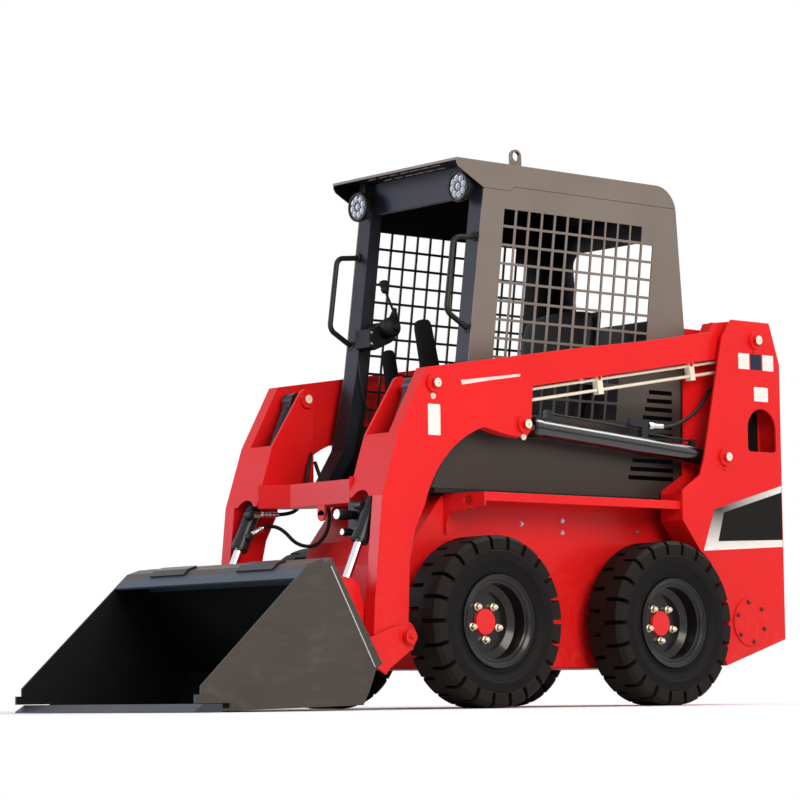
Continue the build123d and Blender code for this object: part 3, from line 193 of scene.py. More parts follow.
def red_enamel():
    """Two-pack enamel sprayed on steel plate: deep red with a soft gloss, and road dust low down.

    Its orange peel is 1 to 3 mm and is drawn at 7 mm.
    """
    coat, tree, place = start("red_enamel_on_steel")
    sway = add(tree, "TexNoise", {"Vector": place, "Scale": 1000 / 420, "Detail": 3})
    tone = add(tree, "Mix", {"Factor": sway.outputs[0], "A": linear("#E21A1B"), "B": linear("#CE1417")},
               data_type="RGBA")
    height = add(tree, "SeparateXYZ", {0: place})
    low = add(tree, "MapRange", {"Value": height.outputs["Z"], "From Min": 0.75, "From Max": 0.12})
    grit = add(tree, "TexNoise", {"Vector": place, "Scale": 1000 / 28, "Detail": 6, "Roughness": 0.7})
    speck = add(tree, "MapRange", {
        "Value": grit.outputs[0], "From Min": 0.48, "From Max": 0.72, "To Max": 0.22})
    dust = add(tree, "Math", {0: low.outputs[0], 1: speck.outputs[0]}, operation="MULTIPLY")
    dusty = add(tree, "Mix", {
        "Factor": dust.outputs[0], "A": tone.outputs["Result"], "B": linear("#8E6F60")}, data_type="RGBA")
    rounded = add(tree, "Bevel", {"Radius": 0.003}, samples=4)
    peel = add(tree, "TexNoise", {"Vector": place, "Scale": 1000 / 7, "Detail": 2})
    skin = add(tree, "Bump", {"Height": peel.outputs[0], "Strength": 0.06, "Distance": 0.0006,
                              "Normal": rounded.outputs[0]})
    dull = add(tree, "MapRange", {
        "Value": dust.outputs[0], "From Max": 0.2, "To Min": 0.36, "To Max": 0.6})
    paint = add(tree, "BsdfPrincipled", {
        "Base Color": dusty.outputs["Result"], "Roughness": dull.outputs[0], "Normal": skin.outputs[0],
        "Specular IOR Level": 0.22, "Coat Weight": 0.1, "Coat Roughness": 0.12})
    close(tree, paint)
    return coat


def facing_out(tree, place, centre):
    """1 on the faces that look away from this point, and 0 on those that look towards it."""
    away = add(tree, "VectorMath", {0: place, 1: centre}, operation="SUBTRACT")
    lie = add(tree, "NewGeometry")
    dot = add(tree, "VectorMath", {0: away.outputs[0], 1: lie.outputs["Normal"]}, operation="DOT_PRODUCT")
    return add(tree, "Math", {0: dot.outputs["Value"], 1: 0.0}, operation="GREATER_THAN").outputs[0]


def cab_powder_coat():
    """Polyester powder coat: bronze grey that is drawn darker towards the bottom, and black inside the cab.

    Its texture is under 1 mm and is drawn at 4 mm.
    """
    coat, tree, place = start("bronze_grey_powder_coat")
    out = facing_out(tree, place, at(-0.18, 0, 1.62))
    sway = add(tree, "TexNoise", {"Vector": place, "Scale": 1000 / 380, "Detail": 3})
    outer = add(tree, "Mix", {"Factor": sway.outputs[0], "A": linear("#7D736B"), "B": linear("#6A615A")},
                data_type="RGBA")
    spot = add(tree, "SeparateXYZ", {0: place})
    # outside faces grow darker towards the bottom, from 1.46 m down to 1.20 m height
    darker_low = add(tree, "MapRange", {"Value": spot.outputs["Z"], "From Min": 1.46, "From Max": 1.20})
    graded = add(tree, "Mix", {
        "Factor": darker_low.outputs[0], "A": outer.outputs["Result"], "B": linear("#37302C")}, data_type="RGBA")
    tone = add(tree, "Mix", {
        "Factor": out, "A": linear("#0D0C0B"), "B": graded.outputs["Result"]}, data_type="RGBA")
    rounded = add(tree, "Bevel", {"Radius": 0.002}, samples=4)
    grain = add(tree, "TexNoise", {"Vector": place, "Scale": 1000 / 4, "Detail": 3})
    skin = add(tree, "Bump", {"Height": grain.outputs[0], "Strength": 0.12, "Distance": 0.0006,
                              "Normal": rounded.outputs[0]})
    paint = add(tree, "BsdfPrincipled", {
        "Base Color": tone.outputs["Result"], "Roughness": 0.36, "Metallic": 0.15,
        "Specular IOR Level": 0.3, "Normal": skin.outputs[0]})
    close(tree, paint)
    return coat


def plain_paint(name, colour, second, roughness, coat_weight=0.0, specular=0.5, grain_mm=6, bump=0.06):
    """Paint, film, rubber or moulded plastic of one colour that wavers towards a second over 240 mm.

    The real grain is under 2 mm and is drawn at grain_mm.
    """
    coat, tree, place = start(name)
    sway = add(tree, "TexNoise", {"Vector": place, "Scale": 1000 / 240, "Detail": 4})
    tone = add(tree, "Mix", {
        "Factor": sway.outputs[0], "A": linear(colour), "B": linear(second)}, data_type="RGBA")
    rounded = add(tree, "Bevel", {"Radius": 0.0015}, samples=4)
    grain = add(tree, "TexNoise", {"Vector": place, "Scale": 1000 / grain_mm, "Detail": 3})
    skin = add(tree, "Bump", {"Height": grain.outputs[0], "Strength": bump, "Distance": 0.0006,
                              "Normal": rounded.outputs[0]})
    paint = add(tree, "BsdfPrincipled", {
        "Base Color": tone.outputs["Result"], "Roughness": roughness, "Specular IOR Level": specular,
        "Normal": skin.outputs[0], "Coat Weight": coat_weight, "Coat Roughness": 0.1})
    close(tree, paint)
    return coat


def bucket_paint():
    """Worn grey paint on plate: scuffed outside, near black within, blue-grey along the top edge."""
    strip_low, strip_high, side_plate = 0.465, 0.512, 0.5649
    coat, tree, place = start("worn_grey_bucket_paint")
    out = facing_out(tree, place, at(1.45, 0, 0.24))
    lie = add(tree, "NewGeometry")
    turn = add(tree, "SeparateXYZ", {0: lie.outputs["Normal"]})
    spot = add(tree, "SeparateXYZ", {0: place})
    slant = add(tree, "Math", {0: turn.outputs["X"], 1: 0.5}, operation="GREATER_THAN")
    above = add(tree, "Math", {0: spot.outputs["Z"], 1: strip_low}, operation="GREATER_THAN")
    below = add(tree, "Math", {0: spot.outputs["Z"], 1: strip_high}, operation="LESS_THAN")
    band = add(tree, "Math", {0: above.outputs[0], 1: below.outputs[0]}, operation="MULTIPLY")
    strip = add(tree, "Math", {0: slant.outputs[0], 1: band.outputs[0]}, operation="MULTIPLY")
    inboard = add(tree, "Math", {0: spot.outputs["Y"]}, operation="ABSOLUTE")
    between_sides = add(tree, "Math", {0: inboard.outputs[0], 1: side_plate}, operation="LESS_THAN")
    lip = add(tree, "Math", {0: strip.outputs[0], 1: between_sides.outputs[0]}, operation="MULTIPLY")
    cloud = add(tree, "TexNoise", {"Vector": place, "Scale": 1000 / 160, "Detail": 6, "Roughness": 0.62})
    outer = add(tree, "Mix", {"Factor": cloud.outputs[0], "A": linear("#4A453F"), "B": linear("#3C3733")},
                data_type="RGBA")
    streak_place = add(tree, "Mapping", {"Vector": place, "Scale": (0.5, 0.2, 1.4)})
    streak = add(tree, "TexNoise", {"Vector": streak_place.outputs[0], "Scale": 1000 / 60, "Detail": 5})
    rub = add(tree, "MapRange", {
        "Value": streak.outputs[0], "From Min": 0.52, "From Max": 0.8, "To Max": 0.25})
    scuffed = add(tree, "Mix", {
        "Factor": rub.outputs[0], "A": outer.outputs["Result"], "B": linear("#6E6A63")}, data_type="RGBA")
    inner = add(tree, "Mix", {"Factor": rub.outputs[0], "A": linear("#101212"), "B": linear("#26282A")},
                data_type="RGBA")
    sided = add(tree, "Mix", {
        "Factor": out, "A": inner.outputs["Result"], "B": scuffed.outputs["Result"]}, data_type="RGBA")
    tone = add(tree, "Mix", {
        "Factor": lip.outputs[0], "A": sided.outputs["Result"], "B": linear("#3F4A56")}, data_type="RGBA")
    rounded = add(tree, "Bevel", {"Radius": 0.002}, samples=4)
    skin = add(tree, "Bump", {"Height": cloud.outputs[0], "Strength": 0.1, "Distance": 0.002,
                              "Normal": rounded.outputs[0]})
    paint = add(tree, "BsdfPrincipled", {
        "Base Color": tone.outputs["Result"], "Roughness": 0.45, "Metallic": 0.2,
        "Specular IOR Level": 0.25, "Normal": skin.outputs[0]})
    close(tree, paint)
    return coat


def from_axle(tree, place):
    """Radius from the nearest axle's centre line, whichever wheel the point is on."""
    spot = add(tree, "SeparateXYZ", {0: place})
    along = add(tree, "Math", {0: spot.outputs["X"], 1: MID_X}, operation="SUBTRACT")
    folded = add(tree, "Math", {0: along.outputs[0]}, operation="ABSOLUTE")
    out = add(tree, "Math", {0: folded.outputs[0], 1: HALF_BASE}, operation="SUBTRACT")
    up = add(tree, "Math", {0: spot.outputs["Z"], 1: AXLE_Z}, operation="SUBTRACT")
    arm = add(tree, "CombineXYZ", {0: out.outputs[0], 2: up.outputs[0]})
    return add(tree, "VectorMath", {0: arm.outputs[0]}, operation="LENGTH").outputs["Value"]


def tyre_rubber():
    """Carbon-black tyre rubber: matt, dusty on the lugs, with moulded rings round the sidewall."""
    coat, tree, place = start("weathered_tyre_rubber")
    radius = from_axle(tree, place)
    cloud = add(tree, "TexNoise", {"Vector": place, "Scale": 1000 / 90, "Detail": 6, "Roughness": 0.6})
    lugs = add(tree, "MapRange", {"Value": radius, "From Min": 0.262, "From Max": 0.285})
    dust = add(tree, "Math", {0: lugs.outputs[0], 1: cloud.outputs[0]}, operation="MULTIPLY")
    rubber = add(tree, "Mix", {"Factor": dust.outputs[0], "A": linear("#0E0D0D"), "B": linear("#221E1B")},
                 data_type="RGBA")
    steps = add(tree, "ValToRGB", {"Fac": add(tree, "MapRange", {
        "Value": radius, "From Min": 0.18, "From Max": 0.28}).outputs[0]})
    ramp = steps.color_ramp
    ramp.elements[0].position, ramp.elements[0].color = 0.0, (0.3, 0.3, 0.3, 1)
    ramp.elements[1].position, ramp.elements[1].color = 1.0, (0.9, 0.9, 0.9, 1)
    for reach, level in ((0.08, 0.9), (0.14, 0.9), (0.17, 0.2), (0.5, 0.35), (0.58, 0.75), (0.9, 0.8),
                         (0.93, 0.3)):
        stop = ramp.elements.new(reach)
        stop.color = (level, level, level, 1)
    rings = add(tree, "Bump", {"Height": steps.outputs[0], "Strength": 0.9, "Distance": 0.006})
    skin = add(tree, "Bump", {"Height": cloud.outputs[0], "Strength": 0.25, "Distance": 0.0012,
                              "Normal": rings.outputs[0]})
    paint = add(tree, "BsdfPrincipled", {
        "Base Color": rubber.outputs["Result"], "Roughness": 0.6, "Specular IOR Level": 0.11,
        "Normal": skin.outputs[0]})
    close(tree, paint)
    return coat


def wheel_enamel():
    """Black baked enamel on the steel wheel, with the axle's red flange showing at the hub."""
    flange = 0.0505
    coat, tree, place = start("black_wheel_enamel")
    radius = from_axle(tree, place)
    hub = add(tree, "Math", {0: radius, 1: flange}, operation="LESS_THAN")
    cloud = add(tree, "TexNoise", {"Vector": place, "Scale": 1000 / 45, "Detail": 5, "Roughness": 0.65})
    black = add(tree, "Mix", {"Factor": cloud.outputs[0], "A": linear("#0E0E0F"), "B": linear("#191716")},
                data_type="RGBA")
    tone = add(tree, "Mix", {
        "Factor": hub.outputs[0], "A": black.outputs["Result"], "B": linear("#E0201F")}, data_type="RGBA")
    rounded = add(tree, "Bevel", {"Radius": 0.003}, samples=4)
    skin = add(tree, "Bump", {"Height": cloud.outputs[0], "Strength": 0.08, "Distance": 0.0008,
                              "Normal": rounded.outputs[0]})
    paint = add(tree, "BsdfPrincipled", {
        "Base Color": tone.outputs["Result"], "Roughness": 0.3, "Specular IOR Level": 0.15,
        "Normal": skin.outputs[0], "Coat Weight": 0.4, "Coat Roughness": 0.12})
    close(tree, paint)
    return coat


def edge_steel():
    """Bare steel that earth has rubbed dark, with scratches in one direction, drawn at 3 mm."""
    roughness = 0.42
    coat, tree, place = start("worn_edge_steel")
    brushed = add(tree, "Mapping", {"Vector": place, "Scale": (1, 0.06, 1)})
    scratch = add(tree, "TexNoise", {"Vector": brushed.outputs[0], "Scale": 1000 / 3, "Detail": 4})
    cloud = add(tree, "TexNoise", {"Vector": place, "Scale": 1000 / 120, "Detail": 5})
    tone = add(tree, "Mix", {"Factor": cloud.outputs[0], "A": linear("#4A5058"), "B": linear("#2E3238")},
               data_type="RGBA")
    rough = add(tree, "MapRange", {
        "Value": scratch.outputs[0], "To Min": roughness - 0.08, "To Max": roughness + 0.15})
    skin = add(tree, "Bump", {"Height": scratch.outputs[0], "Strength": 0.15, "Distance": 0.0005})
    steel = add(tree, "BsdfPrincipled", {
        "Base Color": tone.outputs["Result"], "Metallic": 0.85, "Roughness": rough.outputs[0],
        "Normal": skin.outputs[0]})
    close(tree, steel)
    return coat


def polished(name, colour, roughness):
    """Ground and plated metal: it mirrors what is round it, blurred by fine marks, drawn at 2 mm."""
    coat, tree, place = start(name)
    marks = add(tree, "TexNoise", {"Vector": place, "Scale": 1000 / 2, "Detail": 2})
    rough = add(tree, "MapRange", {
        "Value": marks.outputs[0], "To Min": roughness * 0.7, "To Max": roughness * 1.4})
    metal = add(tree, "BsdfPrincipled", {
        "Base Color": linear(colour), "Metallic": 1.0, "Roughness": rough.outputs[0]})
    close(tree, metal)
    return coat


def vinyl():
    """Expanded vinyl on foam: a soft sheen over a leather grain of 1 to 2 mm, drawn at 4 mm."""
    coat, tree, place = start("black_grained_vinyl")
    grain = add(tree, "TexVoronoi", {"Vector": place, "Scale": 1000 / 4})
    wear = add(tree, "TexNoise", {"Vector": place, "Scale": 1000 / 110, "Detail": 4})
    tone = add(tree, "Mix", {"Factor": wear.outputs[0], "A": linear("#0E0E10"), "B": linear("#191919")},
               data_type="RGBA")
    skin = add(tree, "Bump", {"Height": grain.outputs["Distance"], "Strength": 0.25, "Distance": 0.0008})
    cloth = add(tree, "BsdfPrincipled", {
        "Base Color": tone.outputs["Result"], "Roughness": 0.5, "Specular IOR Level": 0.2,
        "Normal": skin.outputs[0]})
    close(tree, cloth)
    return coat


def silver_fade():
    """Printed silver film that darkens towards the stripe's upper front, with print dots drawn at 3 mm."""
    coat, tree, place = start("silver_fade_film")
    spot = add(tree, "SeparateXYZ", {0: place})
    along = add(tree, "MapRange", {
        "Value": spot.outputs["X"], "From Min": MID_X - 1.17, "From Max": MID_X - 0.80})
    up = add(tree, "MapRange", {"Value": spot.outputs["Z"], "From Min": 0.64, "From Max": 0.80})
    mixed = add(tree, "Math", {0: along.outputs[0], 1: up.outputs[0]}, operation="MULTIPLY")
    tone = add(tree, "Mix", {"Factor": mixed.outputs[0], "A": linear("#E6E2DE"), "B": linear("#2A2623")},
               data_type="RGBA")
    dots = add(tree, "TexVoronoi", {"Vector": place, "Scale": 1000 / 3})
    rough = add(tree, "MapRange", {"Value": dots.outputs["Distance"], "To Min": 0.32, "To Max": 0.42})
    paint = add(tree, "BsdfPrincipled", {
        "Base Color": tone.outputs["Result"], "Roughness": rough.outputs[0]})
    close(tree, paint)
    return coat


RED = red_enamel()
CAB = cab_powder_coat()
BUCKET = bucket_paint()
RUBBER = tyre_rubber()
WHEEL = wheel_enamel()
EDGE = edge_steel()
VINYL = vinyl()
FADE = silver_fade()
# enamels: dark and bluish on barrels, pipes and posts, satin or wet black, cream on pins, dull on the casting
SLATE = plain_paint("slate_black_enamel", "#20242C", "#191C22", 0.34, coat_weight=0.12, specular=0.2)
POST = plain_paint("slate_post_enamel", "#262C38", "#1B1B1D", 0.4, specular=0.2)
BLACK = plain_paint("satin_black_enamel", "#131415", "#1A1A1B", 0.4, specular=0.25)
GLOSS_BLACK = plain_paint("gloss_black_enamel", "#0A0A0B", "#101010", 0.16, coat_weight=1.0, specular=0.3,
                          bump=0.02)
CREAM = plain_paint("cream_enamel", "#E9E4D2", "#D9D2BC", 0.35)
IRON = plain_paint("painted_cast_iron", "#26282A", "#1D1F20", 0.6, specular=0.2, grain_mm=5, bump=0.4)
OVERSPRAYED = plain_paint("oversprayed_bolt_steel", "#7A1418", "#4A0E10", 0.4)
# metals: mirror-bright chrome, warm yellow zinc, white zinc and the lamps' greyer metallised cups
CHROME = polished("hard_chrome", "#DADEE2", 0.09)
ZINC = polished("yellow_zinc_plate", "#F4E8D2", 0.36)
SILVER = polished("bright_zinc_plate", "#C4C7CA", 0.25)
LAMP_CUP = polished("vacuum_metallised_cup", "#8F9496", 0.35)
# plastics and rubber: clear and glossy, satin nylon, smooth hose, ribbed guard and soft matt foam
LENS = plain_paint("clear_lamp_polycarbonate", "#D9DDE0", "#C6CBD0", 0.12, coat_weight=0.6)
LAMP_DARK = plain_paint("grey_lamp_reflector_plate", "#6A6E70", "#5A5E60", 0.5, specular=0.2)
MOULDED = plain_paint("moulded_black_nylon", "#0D0D0E", "#141415", 0.5, specular=0.2, grain_mm=2, bump=0.15)
HOSE = plain_paint("smooth_black_hose_rubber", "#0C0C0D", "#131313", 0.45, specular=0.25, grain_mm=3,
                   bump=0.15)
GUARD = plain_paint("spiral_hose_guard", "#0F0F0F", "#1D1D1D", 0.36, specular=0.3, grain_mm=7, bump=0.5)
FOAM = plain_paint("black_grip_foam", "#080809", "#0F0F10", 0.8, specular=0.12, grain_mm=1.5, bump=0.3)
# adhesive vinyl films, smooth and flat, without print, and a pale pink painted highlight for the left arm
WHITE = plain_paint("white_vinyl_film", "#E8E6E3", "#DEDCD8", 0.4)
# pale pink painted highlight along the top of the left arm, laid on as a flat sheet
ARM_HIGHLIGHT = plain_paint("painted_arm_highlight", "#F3D3CE", "#EBC4BE", 0.4)
NAVY = plain_paint("navy_vinyl_film", "#1E2A3C", "#1A2433", 0.4, specular=0.2)
FIELD = plain_paint("black_vinyl_film", "#110F0D", "#161412", 0.35, specular=0.12)

FINISH = {
    RED: ("main_frame", "fender_decks", "rear_sill", "tower_left", "tower_right", "axle_housings",
          "arm_left", "arm_right", "arm_crossmember", "quick_attach", "rear_door", "engine_hood"),
    CAB: ("cab_side_left", "cab_side_right", "cab_roof", "cab_rear", "lifting_eyes"),
    POST: ("cab_front_frame",),
    BLACK: ("cab_floor", "seat_base", "work_lamps", "handrails", "door_hinges"),
    BUCKET: ("bucket_shell",),
    SLATE: ("lift_pipes_left", "lift_pipes_right", "bucket_fittings", "tilt_barrel_left",
            "tilt_barrel_right"),
    GLOSS_BLACK: ("lift_barrel_left", "lift_barrel_right"),
    CHROME: ("lift_rod_left", "lift_rod_right", "tilt_rod_left", "tilt_rod_right"),
    RUBBER: tuple(f"tyre_{name}" for name in CORNERS),
    WHEEL: tuple(f"rim_{name}" for name in CORNERS),
    MOULDED: ("control_levers",),
    IRON: ("engine_block",),
    CREAM: ("boom_pipes_left", "boom_pipes_right"),
    EDGE: ("cutting_edge",),
    VINYL: ("seat",),
    LENS: ("lamp_lenses",),
}
for coat, nodes in FINISH.items():
    for node in nodes:
        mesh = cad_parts[node].data
        mesh.materials.clear()
        mesh.materials.append(coat)


# ================================================================ ways of making pieces
def lengthwise(y):
    """A place for plates with an (x, z) outline, at this distance to the left, thick towards the right."""
    turn = Matrix(((1, 0, 0, 0), (0, 0, -1, 0), (0, 1, 0, 0), (0, 0, 0, 1)))
    return Matrix.Translation(at(0, y, 0)) @ turn


def crosswise(x, y=0):
    """A place for plates with a (y, z) outline, at this distance forward, thick towards the front."""
    turn = Matrix(((0, 0, 1, 0), (1, 0, 0, 0), (0, 1, 0, 0), (0, 0, 0, 1)))
    return Matrix.Translation(at(x, y, 0)) @ turn


def seat_on(point, normal):
    """A matrix whose Z runs along this normal, at this point."""
    turn = Vector(normal).to_track_quat("Z", "Y").to_matrix().to_4x4()
    return Matrix.Translation(point) @ turn


def around(count, radius, first=0.0):
    """Points spaced evenly round a circle, the first at this angle."""
    angles = [2 * pi * k / count + first for k in range(count)]
    return [(radius * cos(angle), radius * sin(angle)) for angle in angles]


def wall(bm, low, high):
    """Adds the faces between two closed loops with the same number of corners."""
    count = len(low)
    for k in range(count):
        after = (k + 1) % count
        bm.faces.new((low[k], low[after], high[after], high[k]))


def turned(bm, place, profile, sides=24, hollow=False):
    """Adds a solid turned about the place's Z axis, from (distance along it, radius) pairs.

    A hollow one is a ring, whose pairs go once round its section.
    """
    rings = [[bm.verts.new(place @ Vector((u, v, along))) for u, v in around(sides, radius)]
             for along, radius in profile]
    for low, high in zip(rings, rings[1:]):
        wall(bm, low, high)
    if hollow:
        wall(bm, rings[-1], rings[0])
    else:
        bm.faces.new(reversed(rings[0]))
        bm.faces.new(rings[-1])


def spindle(bm, foot, head, profile, sides=20):
    """Adds a turned solid from foot to head, its profile in shares of that length."""
    run = head - foot
    turned(bm, seat_on(foot, run), [(share * run.length, radius) for share, radius in profile], sides)


def slab(bm, place, outline, depth):
    """Adds a plate with this outline in the place's XY plane, its thickness along +Z."""
    low = [bm.verts.new(place @ Vector((x, y, 0))) for x, y in outline]
    high = [bm.verts.new(place @ Vector((x, y, depth))) for x, y in outline]
    wall(bm, low, high)
    bm.faces.new(reversed(low))
    bm.faces.new(high)


def bolt(bm, point, normal, across, height):
    """Adds a hexagon head on its washer, with a domed top."""
    washer = height * 0.2
    place = seat_on(point, normal)
    turned(bm, place, ((0, across * 0.72), (washer, across * 0.72)), 16)
    turned(bm, place, (
        (washer, across * 0.55), (height * 0.85, across * 0.55), (height, across * 0.42)), 6)


def piece(name, bm, body, coat, bevel=0.0):
    """Closes a bmesh into a named piece that rides on a body, with its finish and softened edges."""
    bmesh.ops.recalc_face_normals(bm, faces=bm.faces)
    mesh = bpy.data.meshes.new(name)
    bm.to_mesh(mesh)
    bm.free()
    for face in mesh.polygons:
        face.use_smooth = True
    mesh.set_sharp_from_angle(angle=radians(35))
    made = bpy.data.objects.new(name, mesh)
    bpy.context.collection.objects.link(made)
    made.data.materials.append(coat)
    if bevel:
        soften = made.modifiers.new("soften", "BEVEL")
        soften.width = bevel
        soften.segments = 2
        soften.limit_method = "ANGLE"
    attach(made, body)
    return made


def hose_line(name, points, radius):
    """One smooth open line with a round section, drawn into the corners of this route."""
    line = bpy.data.curves.new(name, "CURVE")
    line.dimensions = "3D"
    run = line.splines.new("NURBS")
    run.points.add(len(points) - 1)
    for spot, point in zip(run.points, points):
        spot.co = (*point, 1)
    run.order_u = 3
    run.use_endpoint_u = True
    run.resolution_u = 8
    line.bevel_depth = radius
    line.bevel_resolution = 4
    line.use_fill_caps = True
    made = bpy.data.objects.new(name, line)
    bpy.context.collection.objects.link(made)
    return made


def mesh_of(line):
    """The mesh that a curve object draws as it stands."""
    bpy.context.view_layer.update()
    return bpy.data.meshes.new_from_object(line.evaluated_get(bpy.context.evaluated_depsgraph_get()))


def swinging_hose(name, points, diameter, coat):
    """A hose from one body to another: a smooth tube along its route."""
    line = hose_line(name + "_line", points, 0)
    path = [Vector(vertex.co) for vertex in mesh_of(line).vertices]
    line.data.bevel_depth = diameter / 2
    tube = mesh_of(line)
    bpy.data.objects.remove(line)
    tube.materials.clear()
    tube.materials.append(coat)
    made = bpy.data.objects.new(name, tube)
    bpy.context.collection.objects.link(made)
    for face in tube.polygons:
        face.use_smooth = True
    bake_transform(made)


def coupling(bm, start_point, end_point, radius):
    """Adds a crimped hose fitting: a hexagon nut and a sleeve with four crimped bands."""
    run = end_point - start_point
    place = seat_on(start_point, run)
    length = run.length
    turned(bm, place, ((0, radius * 1.1), (length * 0.28, radius * 1.1)), 6)
    sleeve = [(length * 0.26, radius * 0.72)]
    for k in range(4):
        band = length * (0.36 + 0.15 * k)
        sleeve += [(band, radius * 0.95), (band + length * 0.09, radius * 0.95),
                   (band + length * 0.12, radius * 0.8)]
    sleeve.append((length, radius * 0.85))
    turned(bm, place, sleeve, 20)


# ================================================================ cylinders and hoses
def lift_hoses():
    """The lift cylinder's hose, from its coupling on the barrel down into the tower."""
    for side, hand in SIDES:
        body = f"lift_barrel_{side}"
        bm = bmesh.new()
        coupling(bm, at(-0.452, hand * PIPE_LINE, 1.134), at(-0.532, hand * PIPE_LINE, 1.134), 0.0135)
        piece(f"lift_coupling_{side}", bm, body, SILVER)
        route = ((-0.530, PIPE_LINE, 1.134), (-0.575, PIPE_LINE, 1.134), (-0.635, 0.459, 1.155),
                 (-0.705, 0.459, 1.188), (-0.768, 0.457, 1.236), (-0.818, 0.450, 1.300),
                 (-0.872, 0.447, 1.330), (-0.930, 0.447, 1.310), (-0.972, 0.444, 1.240),
                 (-0.985, 0.434, 1.165), (-0.985, 0.408, 1.110))
        points = [at(x, hand * y, z) for x, y, z in route]
        swinging_hose(f"lift_hose_{side}", points, 0.0155,
                      GUARD)


# name, length, number of the point where the bend ends, and the route from its coupling
TILT_HOSES = (
    ("upper", 0.340, 5, (
        (0.870, 0.3055, 0.771), (0.840, 0.297, 0.772), (0.795, 0.280, 0.785), (0.765, 0.268, 0.830),
        (0.757, 0.262, 0.900), (0.742, 0.264, 0.965), (0.722, 0.276, 1.005), (0.712, 0.288, 1.020))),
    ("lower", 0.625, 6, (
        (0.926, 0.332, 0.716), (0.890, 0.326, 0.730), (0.838, 0.308, 0.712), (0.800, 0.272, 0.650),
        (0.740, 0.220, 0.640), (0.696, 0.186, 0.720), (0.698, 0.200, 0.830), (0.706, 0.240, 0.930),
        (0.690, 0.288, 0.985))),
)


def tilt_hoses():
    """Each bucket cylinder's two hoses, with their bright couplings and the port blocks on the barrel."""
    for side, hand in SIDES:
        body = f"tilt_barrel_{side}"
        bm = bmesh.new()
        coupling(bm, at(0.972, hand * 0.332, 0.768), at(0.868, hand * 0.305, 0.771), 0.0125)
        coupling(bm, at(0.974, hand * 0.340, 0.689), at(0.924, hand * 0.332, 0.717), 0.0125)
        piece(f"tilt_couplings_{side}", bm, body, SILVER)
        bm = bmesh.new()
        for x, z, depth in ((0.980, 0.768, 0.036), (0.985, 0.680, 0.034)):
            turned(bm, seat_on(at(x, hand * 0.362, z), (0, -hand, 0)),
                   ((0, 0.016), (depth, 0.016), (depth + 0.004, 0.013)))
        piece(f"tilt_ports_{side}", bm, body, SLATE, 0.001)
        for name, length, last, route in TILT_HOSES:
            points = [at(x, hand * y, z) for x, y, z in route]
            swinging_hose(f"tilt_hose_{name}_{side}", points, 0.0152,
                          HOSE)


# ================================================================ cab
def joystick():
    """The boom control on the right front post: its box, round head, gaiter, stick, knob and cable."""
    box_face, lean = -0.212, (0.15, 1, 0.05)
    bm = bmesh.new()
    outline = ((0.376, 1.570), (0.440, 1.536), (0.462, 1.534), (0.462, 1.460), (0.433, 1.449),
               (0.350, 1.484), (0.322, 1.502), (0.330, 1.545))
    slab(bm, lengthwise(box_face), outline, 0.092)
    turned(bm, seat_on(at(0.368, -0.214, 1.542), lean),
           ((0, 0.040), (0.018, 0.042), (0.040, 0.042), (0.050, 0.036), (0.056, 0.022), (0.058, 0.010)), 32)
    turned(bm, seat_on(at(0.368, -0.160, 1.542), lean), ((0, 0.016), (0.014, 0.015), (0.017, 0.011)), 24)
    gaiter = [(0.0, 0.030)]
    for fold in range(6):
        valley, ridge = 0.10 + fold * 0.14, 0.16 + fold * 0.14
        gaiter += [(valley, 0.024 - fold * 0.0030), (ridge, 0.0275 - fold * 0.0033)]
    gaiter.append((1.0, 0.008))
    spindle(bm, at(0.358, -0.188, 1.556), at(0.345, -0.190, 1.625), gaiter, 24)
    spindle(bm, at(0.346, -0.190, 1.600), at(0.386, -0.204, 1.700), ((0, 0.0055), (1, 0.0055)), 12)
    knob = ((0, 0.007), (0.08, 0.013), (0.3, 0.017), (0.45, 0.0145), (0.62, 0.018), (0.86, 0.019),
            (0.95, 0.015), (1.0, 0.006))
    spindle(bm, at(0.383, -0.203, 1.684), at(0.393, -0.206, 1.738), knob, 24)
    piece("joystick", bm, "frame", MOULDED, 0.0012)
    bm = bmesh.new()
    for x, z in ((0.452, 1.520), (0.452, 1.474), (0.372, 1.508), (0.350, 1.520)):
        bolt(bm, at(x, box_face - 0.0002, z), (0, 1, 0), 0.008, 0.005)
    piece("joystick_screws", bm, "frame", SILVER)
    diameter = 0.008
    drop = ((0.420, -0.298, 1.480), (0.440, -0.296, 1.470), (0.460, -0.291, 1.430), (0.456, -0.284, 1.360),
            (0.446, -0.280, 1.290), (0.420, -0.278, 1.200), (0.400, -0.272, 1.100), (0.420, -0.266, 1.000),
            (0.440, -0.262, 0.920), (0.442, -0.262, 0.853))
    points = [at(*point) for point in drop]
    cable = hose_line("joystick_cable", points, diameter / 2)
    cable.data.materials.append(HOSE)
    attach(cable, "frame")


# ================================================================ wheels, pins and pipes
def wheel_nuts():
    """Five nuts on each hub, each on its cone washer, with the stud's end showing."""
    pitch_radius, hub_face = 0.0699, 0.4765
    for name, centre in WHEELS.items():
        hand = 1 if centre.y > 0 else -1
        bm = bmesh.new()
        for u, v in around(5, pitch_radius, radians(55)):
            place = seat_on(Vector((centre.x + u, hand * hub_face, AXLE_Z + v)), (0, hand, 0))
            turned(bm, place, ((0, 0.0165), (0.005, 0.0165), (0.008, 0.0145)), 20)
            turned(bm, place, ((0.006, 0.0135), (0.021, 0.0135), (0.024, 0.0108)), 6)
            turned(bm, place, ((0.022, 0.0068), (0.028, 0.0068), (0.030, 0.0050)), 12)
        piece(f"wheel_nuts_{name}", bm, f"wheel_{name}", ZINC)


# name, x, z, outer face of the pin, body, radius of its cream end
PINS = (
    ("bucket_cylinder", 0.732, 1.236, 0.517, "boom", 0.0175),
    ("lift_rod", 0.265, 1.101, 0.517, "boom", 0.0175),
    ("boom_pivot", -1.026, 1.516, 0.550, "frame", 0.0190),
    ("lift_base", -0.831, 1.018, 0.550, "frame", 0.0175),
)


